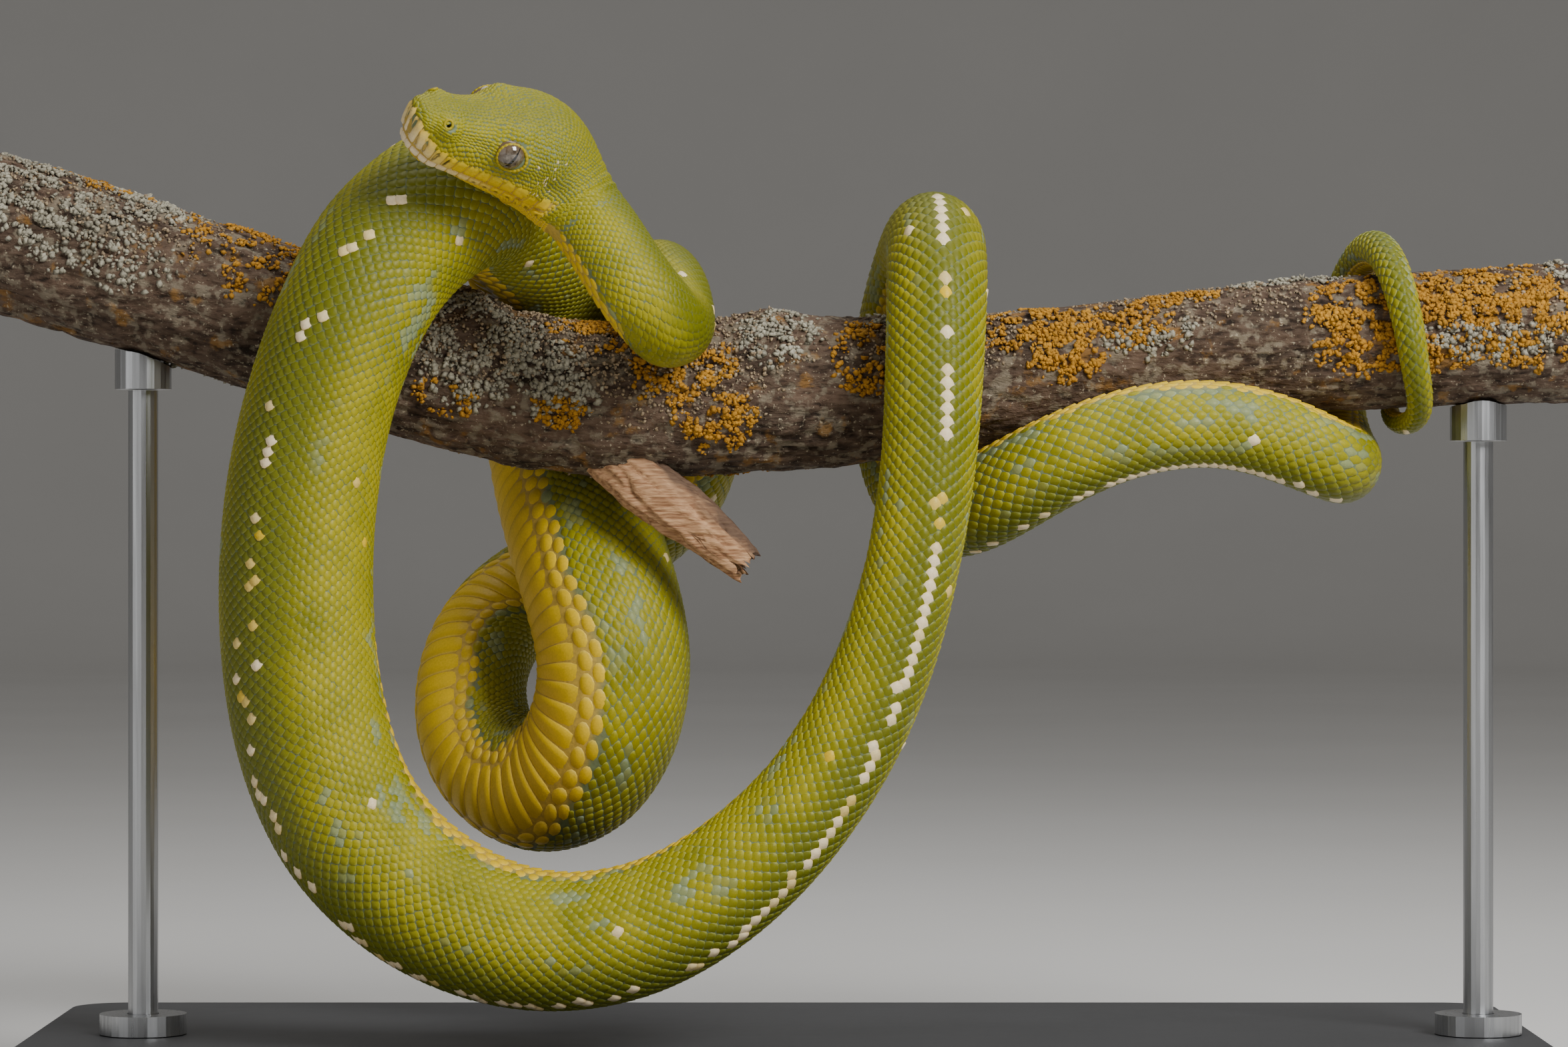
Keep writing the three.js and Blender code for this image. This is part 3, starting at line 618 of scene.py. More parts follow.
def buildBelly(material):
    shake = np.random.default_rng(belly["seed"])
    t = []
    place = belly["start"]
    while place < bodyEnd - 6:
        share = np.clip(girthAt(place) / belly["fullGirth"], 0.25, 1)
        t.append(place)
        place += belly["pitch"] * share**0.6
    t = np.array(t)
    pitch = belly["pitch"] * np.clip(girthAt(t) / belly["fullGirth"], 0.25, 1)**0.6
    steps = belly["stepsAcross"]
    side = np.linspace(-1, 1, steps)
    along = np.array([-1.0, -0.6, 0.2, 0.8, 1.0])
    gridAlong, gridSide = np.meshgrid(along, side, indexing="ij")
    roundEnd = 1 - 0.35 * np.abs(gridSide)**6
    height = (0.15 + 0.5 * (0.5 + 0.5 * gridAlong)) * (1 - np.abs(gridSide)**8)
    height[0] = height[-1] = -0.2
    height[:, 0] = height[:, -1] = -0.2
    corners = gridAlong.size
    halfTurn = math.radians(belly["halfTurn"])
    allT = t[:, None] + (gridAlong * roundEnd).ravel() * pitch[:, None] * 0.53
    allTurn = math.pi + np.tile(gridSide.ravel() * halfTurn, (len(t), 1))
    lift = -snake["coatDepth"] + np.tile(height.ravel(), (len(t), 1)) * np.clip(pitch / 5, 0.4, 1)[:, None]
    points, _ = surfaceAt(np.clip(allT, 1, bodyEnd - 0.3).ravel(), allTurn.ravel(), lift.ravel())
    quad = sheetQuads(len(along), steps)
    faces = ((np.arange(len(t)) * corners)[:, None, None] + quad).reshape(-1, 4)
    edge = np.clip(np.abs(gridAlong.ravel())**4, 0, 1)
    tone = np.repeat(shake.random(len(t)), corners)
    count = len(t) * corners
    marksRows = np.c_[np.ones(count), np.full(count, 0.1), np.zeros(count)]
    shades = np.c_[np.tile(edge, len(t)), tone, np.zeros(count)]
    uv = np.c_[np.tile(0.5 + gridSide.ravel() * 0.45, len(t)),
               (allT.ravel() - t[0] + 4) / (bodyEnd - t[0] + 8)]
    plates = makeMesh("belly_plates", points, [faces], material,
                      colours={"marks": marksRows, "shades": shades}, uv=uv)
    edges = []
    for row, (edgeTurn, edgeSpan) in enumerate(zip(belly["edgeTurns"], belly["edgeSpans"])):
        sides = np.r_[np.full(len(t), 1), np.full(len(t), -1)]
        edgeT = np.r_[t, t] + np.r_[pitch, pitch] * (0.5 - 0.5 * row) + shake.normal(0, 0.12, 2 * len(t))
        edgeTurn = sides * (math.pi - math.radians(edgeTurn))
        tone = shake.random(len(edgeT))
        patch = layeredNoise(edgeT / 12, np.full(len(edgeT), 3.0 * row) + sides, belly["seed"] + 4)
        yellow = np.full(len(edgeT), 1.0) if row == 0 else ease(patch + 0.2 * tone, 0.48, 0.66)
        blue = np.zeros(len(edgeT)) if row == 0 else (1 - yellow) * (tone > 0.7)
        rows = np.c_[yellow, np.full(len(edgeT), 0.08), blue, tone, np.zeros(len(edgeT))]
        share = np.clip(girthAt(edgeT) / belly["fullGirth"], 0.3, 1)
        thick = scaleShape["thick"] * (1.35 - 0.25 * row) * share
        half = np.r_[pitch, pitch] * (0.49 - 0.07 * row)
        span = np.full(len(edgeT), math.radians(edgeSpan))
        edges.append(platesMesh("belly_edge_%d" % (row + 1), material, edgeT, edgeTurn, half, span,
                                thick, rows, (50, bodyEnd + 8), "round"))
    print("belly plates:", len(t))
    return [plates, *edges]


# Head: small round granules all over, then lip plates along the mouth
granules = {
    "start": 0.35, "along": 1.10, "across": 1.34, "thick": 0.40, "seed": 21,
    "lipAbove": [(0, 8.0), (5, 6.4), (10, 4.9), (20, 4.0), (60, 3.7)], "lipBelow": 2.6,
    "eyeRoom": 4.1, "noseRoom": 1.35,
}


def headCoords(t, turn):
    width, above, below = np.moveaxis(headShapeAt(t), -1, 0)
    up, across = np.cos(turn), np.sin(turn)
    full = (np.abs(across)**2.4 + np.abs(up)**2.4)**(-1 / 2.4)
    return across * full * width, up * full * np.where(up > 0, above, below)


def buildGranules(material):
    shake = np.random.default_rng(granules["seed"])
    allT, allTurn, spans = [], [], []
    t, row = granules["start"], 0
    while t < coat["start"] + 1.5:
        width, above, below = headShapeAt(np.array(min(t, 68.0)))
        around = 2 * math.pi * math.sqrt((width**2 + ((above + below) / 2)**2) / 2)
        count = max(6, int(around / granules["across"]))
        turns = (np.arange(count) + 0.5 * (row % 2)) / count * 2 * math.pi - math.pi
        allT.append(np.full(count, t))
        allTurn.append(turns)
        spans.append(np.full(count, math.pi / count))
        t += granules["along"]
        row += 1
    t, turn, span = np.concatenate(allT), np.concatenate(allTurn), np.concatenate(spans)
    t = t + shake.normal(0, 0.13, len(t))
    turn = turn + shake.normal(0, 0.16, len(t)) * span
    x, y = headCoords(np.clip(t, 0.3, 68), turn)
    eyeAway = awayFromEye(t, y)
    lip = y - mouthHeight(t)
    lipTop = np.interp(t, *zip(*granules["lipAbove"]))
    inLips = (lip < lipTop) & (lip > -granules["lipBelow"]) & (t < 59)
    noseX, noseY = headDetail["nostrilPlace"][1:]
    noseAway = np.sqrt((t - headDetail["nostrilPlace"][0])**2 + (np.abs(x) - noseX)**2 + (y - noseY)**2)
    onEye = (eyeAway < granules["eyeRoom"]) & (np.abs(x) > 8)
    keep = ~inLips & ~onEye & (noseAway > granules["noseRoom"]) & (t > 0.2)
    t, turn, span, x, y = t[keep], turn[keep], span[keep], x[keep], y[keep]
    size = 1 + 0.18 * shake.random(len(t)) + 0.25 * np.exp(-(t / 14)**2)
    half = granules["along"] * 0.66 * size
    yellow, white, blue, dark = marksAt(t, turn)
    cheek = np.exp(-((t - 44) / 7)**2 - ((y - 1.5) / 4.5)**2) * (np.abs(x) > 6)
    speckle = shake.random(len(t)) < 0.24 * cheek
    white = np.where(speckle, 0.5, white)
    lipNear = np.exp(-((y - mouthHeight(t)) / 5.0)**2) * ease(60 - t, 0, 12)
    yellow = np.maximum(yellow, 0.75 * lipNear)
    rows = np.c_[yellow, white, blue * 0, shake.random(len(t)), 0.5 * dark]
    print("head granules:", len(t))
    thick = np.full(len(t), granules["thick"])
    return platesMesh("head_scales", material, t, turn, half, span * 0.98 * size, thick, rows, (0, 68))


# Lip plates: they are laid out along the mouth line and climb the skin from it
lips = {
    "upperCount": 13, "lowerCount": 14, "grid": 9, "rows": 7,
    "upperTall": [(0, 9.4), (8, 7.8), (16, 5.8), (26, 4.8), (70, 4.3)],
    "lowerTall": [(0, 2.6), (20, 2.7), (70, 2.9)],
    "frontHalf": 1.8, "pits": 5, "pitDepth": 1.5, "swell": 0.62, "seed": 5,
}


def eyeMiddle(side):
    shift = (headForward + headUp) * snake["eyeShift"]
    return headMiddle + headLeft * side * snake["eyeSpread"] - shift


def onSkin(point):
    place, normal, _, _ = headTree.find_nearest(point.tolist())
    return np.array(place), np.array(normal)


def mouthPath():
    # from the middle of the snout back along the left side, as points and outward directions
    front = np.linspace(0.5, 6, 400)
    below = headShapeAt(front)[:, 2]
    first = float(front[np.argmax(below + mouthHeight(front) > 0)]) + 0.02
    stations = first + (60 - first) * np.linspace(0, 1, 110)**1.8
    turns = np.radians(np.linspace(91, 179.9, 600))
    points, outs = [], []
    for t in stations:
        y = headCoords(np.full(600, t), turns)[1]
        turn = np.array([np.interp(-mouthHeight(t), -y, turns)])
        here = np.array([t])
        place = surfaceAt(here, turn, np.zeros(1))[0][0]
        ahead = surfaceAt(here + 0.3, turn, np.zeros(1))[0][0] - place
        aside = surfaceAt(here, turn + 0.04, np.zeros(1))[0][0] - place
        points.append(place)
        outs.append(unit(np.cross(aside, ahead)))
    points, outs = np.array(points), np.array(outs)
    points[0] -= headLeft * ((points[0] - headMiddle) @ headLeft)
    outs[0] = unit(outs[0] - headLeft * (outs[0] @ headLeft))
    reach = np.r_[0, np.cumsum(np.linalg.norm(np.diff(points, axis=0), axis=1))]
    return reach, points, outs


def buildLips(material):
    reach, path, outs = mouthPath()
    total, size, rows = reach[-1], lips["grid"], lips["rows"]
    shake = np.random.default_rng(lips["seed"])
    points, marksRows, shadeRows, uvRows, faces = [], [], [], [], []
    quad = sheetQuads(size, rows)[:, turnedOver]
    plates, front = [], lips["frontHalf"]
    for upper in (True, False):
        count = lips["upperCount"] if upper else lips["lowerCount"]
        widths = np.linspace(1.0, 1.45 if upper else 1.2, count)
        edges = np.r_[0, np.cumsum(widths)] / widths.sum() * (total - front) + front
        plates.append((upper, 0, -front, front))
        for side in (1, -1):
            plates += [(upper, k + 1, side * edges[k], side * edges[k + 1]) for k in range(count)]
    q = np.linspace(0, 1, rows)
    for number, (upper, k, low, high) in enumerate(plates):
        middle, half = (low + high) / 2, abs(high - low) / 2 * 0.985
        tall = np.interp(abs(middle), *zip(*lips["upperTall" if upper else "lowerTall"]))
        column = []
        for p in np.linspace(-1, 1, size):
            s = middle + p * half
            place = np.array([np.interp(abs(s), reach, path[:, c]) for c in range(3)])
            out = unit(np.array([np.interp(abs(s), reach, outs[:, c]) for c in range(3)]))
            if s < 0:
                place = place - 2 * headLeft * ((place - headMiddle) @ headLeft)
                out = out - 2 * headLeft * (out @ headLeft)
            rise = unit(headUp - out * (out @ headUp)) * (1 if upper else -1)
            place = place + rise * 0.25
            strip = []
            for level in range(rows):
                found, normal = onSkin(place)
                normal = normal if normal @ out > 0 else -normal
                normal = unit(normal + 0.6 * out)
                strip.append((found, normal))
                rise = unit(rise - normal * (rise @ normal))
                place = found + rise * tall / (rows - 1)
            column.append(strip)
        base = np.array([[level[0] for level in strip] for strip in column])
        normals = np.array([[level[1] for level in strip] for strip in column])
        p = np.linspace(-1, 1, size)[:, None] * np.ones(rows)
        qq = np.ones(size)[:, None] * q
        roundTop = 0.22 * ease(k, 5, 9) if upper else 0.1
        pillow = np.sqrt(np.clip((1 - p**12) * (1 - (2 * qq - 1)**8), 0, 1))
        pillow = pillow * (1 - ease(np.abs(p) + qq - 1.35, 0, 0.5) * (roundTop > 0.05))
        swell = lips["swell"] * (1.25 if upper and k <= lips["pits"] else 1.0)
        height = pillow * swell - 0.14
        pit = np.zeros_like(p)
        if upper and k <= lips["pits"]:
            lean = np.abs(p) - 0.60 if k == 0 else np.sign(middle) * p + 0.42 - 0.5 * (qq - 0.5)
            pit = np.exp(-(lean / 0.30)**2 - ((qq - 0.50) / 0.36)**4)
            height = height - lips["pitDepth"] * (1 - 0.12 * k) * pit
        if not upper and k >= 8:
            pit = 0.7 * np.exp(-(p / 0.5)**2 - ((qq - 0.62) / 0.25)**4)
            height = height - 0.6 * pit
        points.append((base + normals * height[..., None]).reshape(-1, 3))
        pale = 0.85 * math.exp(-(abs(middle) / 17)**2) if upper else 0.95 * math.exp(-(abs(middle) / 25)**2)
        whiteness = pale * (1 - 0.75 * qq) if upper else np.full(p.shape, pale)
        greenTop = 0.55 * ease(qq, 0.4, 1.0) * ease(abs(middle), 0, 26) if upper else 0.15 * qq
        yellow = 1 - greenTop
        edge = 0.7 * np.clip(1 - pillow * 1.7, 0, 1)
        marksRows.append(np.c_[yellow.ravel(), whiteness.ravel(), np.zeros(p.size)])
        # painted shade in the pits: their deep part gets a back share above 0.5, which the scale finish turns
        # near-black
        paintedShadeInPit = pit.ravel() > 0.25
        shadeRows.append(np.c_[edge.ravel() * (1 - pit.ravel()), np.full(p.size, shake.random()),
                               (0.5 + 0.42 * pit.ravel()) * paintedShadeInPit])
        columnAt, lineAt = number % 8, number // 8
        uvRows.append(np.c_[((p * 0.4 + 0.5 + columnAt) / 8).ravel(),
                            ((qq * 0.8 + 0.1 + lineAt) / 8).ravel()])
        u = base[-1, 0] - base[0, 0]
        v = base[0, -1] - base[0, 0]
        flipped = np.cross(u, v) @ normals[size // 2, rows // 2] < 0
        faces.append((quad[:, ::-1] if flipped else quad) + number * size * rows)
    print("lip plates:", len(plates))
    return makeMesh("lip_plates", np.vstack(points), [np.vstack(faces)], material,
                    colours={"marks": np.vstack(marksRows), "shades": np.vstack(shadeRows)},
                    uv=np.vstack(uvRows))


# Rings of the head: the scaly lid round each eye and the rim of each nostril
headRings = {
    "lidRadius": 4.15, "lidTube": 0.55, "lidScales": 22, "lidSteps": 160, "tubeSides": 10,
    "noseRadius": 1.15, "noseTube": 0.42, "noseDepth": 1.5, "noseSteps": 48,
}


def tubeRing(path, outs, tube, sides):
    # a closed tube along a looped path; every section stands in the plane of the outward direction
    count = len(path)
    along = unit(np.roll(path, -1, 0) - np.roll(path, 1, 0))
    inward = unit(np.cross(outs, along))
    turn = np.arange(sides) / sides * 2 * math.pi
    section = outs[:, None] * np.cos(turn)[None, :, None] + inward[:, None] * np.sin(turn)[None, :, None]
    points = path[:, None] + section * np.asarray(tube)[:, None, None]
    return points.reshape(-1, 3), ringQuads(count + 1, sides) % (count * sides)


def buildHeadRings(material):
    points, faces, marksRows, shadeRows, uvRows = [], [], [], [], []
    first, sides = 0, headRings["tubeSides"]
    for number, (kind, side) in enumerate((("lid", 1), ("lid", -1), ("nose", 1), ("nose", -1))):
        count = headRings[kind + "Steps"]
        spin = np.arange(count) / count * 2 * math.pi
        if kind == "lid":
            middle = eyeMiddle(side)
            wide, tall, axis, radius = headForward, headUp, headLeft * side, headRings["lidRadius"]
        else:
            t, x, y = headDetail["nostrilPlace"]
            tip = headMiddle + headForward * (snake["snoutReach"] - t) - headUp * (snake["axisDrop"] - y)
            middle, axis = onSkin(tip + headLeft * side * x)
            axis = unit(headLeft * side * 0.75 + headUp * 0.45 + headForward * 0.35)
            wide = unit(headForward - axis * (axis @ headForward))
            tall, radius = np.cross(axis, wide), headRings["noseRadius"]
        stretch = 1.12 if kind == "nose" else 0.96
        ring = middle + radius * (np.cos(spin)[:, None] * wide + np.sin(spin)[:, None] * tall * stretch)
        reachOut = 2.6 if kind == "lid" else 0.9
        found = np.array([onSkin(point + axis * reachOut)[0] for point in ring])
        flat = ring + axis * ((found - ring) @ axis)[:, None]
        lobes = np.abs(np.sin(spin * headRings["lidScales"] / 2))
        if kind == "lid":
            tube = headRings["lidTube"] * (0.72 + 0.28 * lobes)
            flat = flat + axis * 0.15
        else:
            tube = np.full(count, headRings["noseTube"])
            level = np.median((found - middle) @ axis)
            flat = ring + axis * (0.5 * level + 0.5 * ((found - ring) @ axis)[:, None] - 0.12)
        outs = np.tile(axis, (count, 1))
        tubePoints, quads = tubeRing(flat, outs, tube, sides)
        points.append(tubePoints)
        faces.append(quads + first)
        first += len(tubePoints)
        corners = count * sides
        marksRows.append(np.tile((0.35 if kind == "lid" else 0.3, 0.0, 0.0), (corners, 1)))
        shadeRows.append(np.c_[np.repeat(0.5 * (1 - lobes), sides), np.full(corners, 0.5),
                               np.full(corners, 0.2)])
        lane = number * 0.24            # each ring has its own lane on the map
        uvRows.append(np.c_[np.repeat(spin, sides) / 6.4 * 0.9 + 0.02,
                            np.tile(np.arange(sides) / sides * 0.2, count) + lane + 0.01])
        if kind == "nose":                # the hollow inside the rim, coloured near-black as painted shade
            shares = (1.0, 0.8, 0.45, 0.0)
            inward = middle - flat + axis * ((flat - middle) @ axis)[:, None]
            deep = axis * headRings["noseDepth"]
            paintedShadeHollow = np.concatenate([flat + inward * (1 - share) - deep * (1 - share**2)
                                     for share in shares])
            cup = ringQuads(len(shares), count)
            points.append(paintedShadeHollow)
            faces.append((cup if side > 0 else cup[:, ::-1]) + first)
            first += len(paintedShadeHollow)
            marksRows.append(np.zeros((len(paintedShadeHollow), 3)))
            # painted shade: back shares from 0.75 to 1 turn the cup near-black in the scale finish, darkest
            # towards its bottom
            dark = np.repeat((0.75, 0.95, 1.0, 1.0), count)
            shadeRows.append(np.c_[np.zeros(len(paintedShadeHollow)), np.full(len(paintedShadeHollow), 0.5), dark])
            uvRows.append(np.c_[np.tile(spin, 4) / 6.4 * 0.9 + 0.02,
                                np.repeat(np.arange(4), count) * 0.005 + lane + 0.215])
    return makeMesh("head_rings", np.vstack(points), [np.vstack(faces)], material,
                    colours={"marks": np.vstack(marksRows), "shades": np.vstack(shadeRows)},
                    uv=np.vstack(uvRows))


# Finishes of the snake
# Rim colours: the scales' own paler edge, with painted highlight where the free rear edge catches light
coatFinish = {
    "flank": (0.335, 0.290, 0.002), "flankDeep": (0.185, 0.180, 0.002), "back": (0.115, 0.125, 0.002),
    "yellow": (0.74, 0.49, 0.008), "yellowDeep": (0.60, 0.40, 0.015), "yellowRimAndHighlight": (0.80, 0.62, 0.16),
    "white": (0.86, 0.70, 0.44), "whiteEdge": (0.80, 0.50, 0.12), "blue": (0.20, 0.30, 0.24),
    "blueRimAndHighlight": (0.30, 0.40, 0.38), "backRimAndHighlight": (0.30, 0.34, 0.10), "flankWarm": (0.36, 0.32, 0.012),
    # near-black painted shade for the nostril hollows and labial pits
    "grain": (0.05, 0.05, 0.004), "paintedShadeHollow": (0.012, 0.008, 0.004),
    "rim": (0.40, 0.43, 0.10), "roughness": 0.46, "gloss": 0.27,
}
skinFinish = {
    "between": (0.15, 0.19, 0.09), "betweenBack": (0.060, 0.075, 0.012), "betweenYellow": (0.55, 0.36, 0.05),
    "roughness": 0.6,
}


def splitMarks(tree):
    read = []
    for label in ("marks", "shades"):
        source = addNode(tree, "Attribute", attribute_name=label)
        parts = addNode(tree, "SeparateColor")
        tree.links.new(source.outputs["Color"], parts.inputs[0])
        read += list(parts.outputs)[:3]
    return read                          # yellow, white, blue, edge (pale rim, partly painted highlight), tone, back (above 0.5, painted shade in hollows)


def scaleMaterial():
    material, tree, shader = newMaterial("pythonScales")
    yellow, white, blue, edge, tone, back = splitMarks(tree)
    cloud = noiseAt(tree, 60, 4)
    grain = noiseAt(tree, 1600, 3)
    deepShare = ramp(tree, back, [(0.0, 0.0), (0.5, 1.0)])
    # back share above 0.5 is painted shade: near-black in the nostril hollows and labial pits
    paintedShadeHollow = ramp(tree, back, [(0.5, 0.0), (0.9, 1.0)])
    patches = ramp(tree, cloud, [(0.34, 0), (0.66, 1)])
    green = mixColour(tree, patches, coatFinish["flankDeep"], coatFinish["flank"])
    green = mixColour(tree, ramp(tree, tone, [(0, 0.0), (1, 0.4)]), green, coatFinish["flankWarm"])
    green = mixColour(tree, deepShare, green, coatFinish["back"])
    green = mixColour(tree, ramp(tree, blue, [(0, 0.0), (1, 0.45)]), green, coatFinish["blue"])
    deeper = ramp(tree, tone, [(0, 0.0), (1, 0.6)])
    warm = mixColour(tree, deeper, coatFinish["yellow"], coatFinish["yellowDeep"])
    colour = mixColour(tree, yellow, green, warm)
    # pale rim: partly the scales' own paler edge, partly painted highlight on the free rear edge
    rim = ramp(tree, edge, [(0.50, 0), (0.95, 0.52)])
    paleRimAndHighlight = mixColour(tree, deepShare, coatFinish["rim"], coatFinish["backRimAndHighlight"])
    paleRimAndHighlight = mixColour(tree, blue, paleRimAndHighlight, coatFinish["blueRimAndHighlight"])
    paleRimAndHighlight = mixColour(tree, yellow, paleRimAndHighlight, coatFinish["yellowRimAndHighlight"])
    colour = mixColour(tree, rim, colour, paleRimAndHighlight)
    spotEdge = ramp(tree, edge, [(0.5, 0), (1.0, 0.5)])
    cream = mixColour(tree, spotEdge, coatFinish["white"], coatFinish["whiteEdge"])
    colour = mixColour(tree, ramp(tree, white, [(0.15, 0), (0.75, 1)]), colour, cream)
    colour = mixColour(tree, ramp(tree, grain, [(0.3, 0.0), (0.8, 0.22)]), colour, coatFinish["grain"])
    # painted shade: the hollows go near-black
    colour = mixColour(tree, paintedShadeHollow, colour, coatFinish["paintedShadeHollow"])
    tree.links.new(colour, shader.inputs["Base Color"])
    rough = ramp(tree, grain, [(0.2, coatFinish["roughness"] - 0.08), (0.8, coatFinish["roughness"] + 0.1)])
    tree.links.new(rough, shader.inputs["Roughness"])
    shader.inputs["Specular IOR Level"].default_value = coatFinish["gloss"]
    addBump(tree, shader, grain, 0.25, 0.0002)
    return material


def skinMaterial():
    material, tree, shader = newMaterial("pythonSkin")
    yellow, _, _, _, _, back = splitMarks(tree)
    grain = noiseAt(tree, 900, 4)
    colour = mixColour(tree, back, skinFinish["between"], skinFinish["betweenBack"])
    colour = mixColour(tree, yellow, colour, skinFinish["betweenYellow"])
    colour = mixColour(tree, ramp(tree, grain, [(0.3, 0.0), (0.75, 0.4)]), colour, (0.03, 0.04, 0.02))
    tree.links.new(colour, shader.inputs["Base Color"])
    shader.inputs["Roughness"].default_value = skinFinish["roughness"]
    addBump(tree, shader, grain, 0.3, 0.0003)
    return material


scalesFinish = scaleMaterial()
headTree, skin = buildSkin(skinMaterial())
print("skin ready")
coatPieces = buildCoat(scalesFinish) + buildBelly(scalesFinish) + [
    buildGranules(scalesFinish), buildLips(scalesFinish), buildHeadRings(scalesFinish)]
fleshNodes = [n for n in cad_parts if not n.startswith(("eye_", "stand_", "perch"))]
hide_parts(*fleshNodes)
print("coat ready")

# Eyes: a globe with a slit pupil behind a clear glossy cap
eyes = {
    "rings": 40, "sides": 64, "slitHalf": 0.085, "slitLong": 0.62,
    "slitLean": -14,                    # degrees
    "iris": (0.055, 0.038, 0.024), "irisEdge": (0.12, 0.075, 0.035), "irisLight": (0.20, 0.165, 0.125),
}


def eyeMaterial(side):
    material, tree, shader = newMaterial("eyeGlobe" + side)
    source = addNode(tree, "Attribute", attribute_name="globe")
    parts = addNode(tree, "SeparateColor")
    tree.links.new(source.outputs["Color"], parts.inputs[0])
    reach, slit = list(parts.outputs)[:2]
    fibres = noiseAt(tree, 900, 5)
    iris = mixColour(tree, ramp(tree, fibres, [(0.35, 0), (0.7, 1)]), eyes["iris"], eyes["irisLight"])
    iris = mixColour(tree, ramp(tree, reach, [(0.55, 0), (0.86, 1)]), iris, eyes["irisEdge"])
    colour = mixColour(tree, ramp(tree, slit, [(0.45, 1), (0.55, 0)]), iris, (0.002, 0.002, 0.002))
    tree.links.new(colour, shader.inputs["Base Color"])
    shader.inputs["Roughness"].default_value = 0.08
    shader.inputs["Coat Weight"].default_value = 1.0
    shader.inputs["Coat Roughness"].default_value = 0.03
    addBump(tree, shader, fibres, 0.05, 0.0001)
    return material


def buildEye(name, side):
    axis = unit(headLeft * side + headForward * 0.16 + headUp * 0.10)
    lean = math.radians(eyes["slitLean"])
    upright = headUp * math.cos(lean) + headForward * math.sin(lean)
    tall = unit(upright - axis * (axis @ upright))
    wide = np.cross(axis, tall)
    polar, turn = np.meshgrid(np.linspace(0.02, math.pi - 0.02, eyes["rings"]),
                              np.arange(eyes["sides"]) / eyes["sides"] * 2 * math.pi, indexing="ij")
    radius = snake["eyeRadius"]
    local = np.stack([np.cos(polar), np.sin(polar) * np.cos(turn), np.sin(polar) * np.sin(turn)], -1)
    bulge = 1 + 0.03 * np.exp(-(polar / 0.5)**2)
    basis = np.stack([axis, tall, wide])
    middle = eyeMiddle(side)
    points = middle + (local * bulge[..., None] * radius) @ basis
    upness, wideness = local[..., 1], local[..., 2]
    slitWide = eyes["slitHalf"] * np.sqrt(np.clip(1 - (upness / eyes["slitLong"])**2, 0, 1))
    slit = np.abs(wideness) / np.maximum(slitWide, 1e-4)
    slit = np.where(local[..., 0] > 0, np.clip(slit / 2, 0, 1), 1)
    outness = np.sin(np.minimum(polar, math.pi / 2))
    globe = np.c_[outness.ravel(), slit.ravel(), (turn / (2 * math.pi)).ravel()]
    rings, sides = eyes["rings"], eyes["sides"]
    quads = ringQuads(rings, sides)[:, turnedOver]
    caps = [np.arange(sides)[None, ::-1], (rings - 1) * sides + np.arange(sides)[None]]
    eye = makeMesh(name + "_globe", points.reshape(-1, 3), [quads, *caps], eyeMaterial(name[4:].title()),
                   colours={"globe": globe})
    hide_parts(name)
    return eye


for name, side in (("eye_left", 1), ("eye_right", -1)):
    buildEye(name, side)
print("eyes ready")


# Branch: bark relief on a long tube with cut ends
def barkRelief(x, turn):
    around = turn / (2 * math.pi)
    plates = layeredNoise(x / 9, around * 24, branch["seed"], 24, 4)
    ridges = np.abs(2 * layeredNoise(x / 26, around * 32, branch["seed"] + 7, 32, 3) - 1)
    relief = -0.2 + 2.2 * (plates - 0.5) - 1.1 * (1 - ease(ridges, 0.02, 0.16))
    bare = ease(x, 66, 84) * ease(160 - x, 0, 16)
    relief = mix(relief, relief * 0.45 - 0.2, bare)
    knot = np.exp(-((x + 5) / 9)**2 - ((np.degrees(turn) - 75) / 24)**2)
    stump = np.exp(-((x + 93) / 7)**2 - ((np.degrees(turn) - 60) / 22)**2)
    fork = np.exp(-((x + 94) / 11)**2 - ((np.degrees(turn) - 76) / 30)**2)
    return relief + 2.4 * knot + 1.2 * stump + 5.0 * fork


def branchPoint(x, turn, lift):
    middle, radius = np.moveaxis(branchAt(x), -1, 0)
    reach = radius - 0.7 + barkRelief(x, turn) + lift
    return np.stack([x, -np.cos(turn) * reach, middle + np.sin(turn) * reach], -1)


def barkMaterial():
    material, tree, shader = newMaterial("barkOld")
    coarse = noiseAt(tree, 70, 6, (0.35, 1, 1))
    fine = noiseAt(tree, 520, 5, (0.4, 1, 1))
    crust = noiseAt(tree, 230, 6)
    stain = noiseAt(tree, 120, 5)
    speck = noiseAt(tree, 900, 3)
    plates = ramp(tree, coarse, [(0.35, 0), (0.68, 1)])
    colour = mixColour(tree, plates, (0.022, 0.013, 0.008), (0.105, 0.064, 0.042))
    colour = mixColour(tree, ramp(tree, fine, [(0.42, 0), (0.70, 0.55)]), colour, (0.18, 0.125, 0.085))
    colour = mixColour(tree, ramp(tree, crust, [(0.52, 0), (0.60, 0.75)]), colour, (0.20, 0.165, 0.115))
    colour = mixColour(tree, ramp(tree, stain, [(0.58, 0), (0.66, 0.6)]), colour, (0.27, 0.13, 0.025))
    colour = mixColour(tree, ramp(tree, speck, [(0.62, 0), (0.70, 0.7)]), colour, (0.42, 0.36, 0.25))
    colour = mixColour(tree, ramp(tree, fine, [(0.30, 0.8), (0.44, 0.0)]), colour, (0.008, 0.005, 0.003))
    tree.links.new(colour, shader.inputs["Base Color"])
    shader.inputs["Roughness"].default_value = 0.92
    shader.inputs["Specular IOR Level"].default_value = 0.25
    addBump(tree, shader, fine, 1.0, 0.0016)
    return material


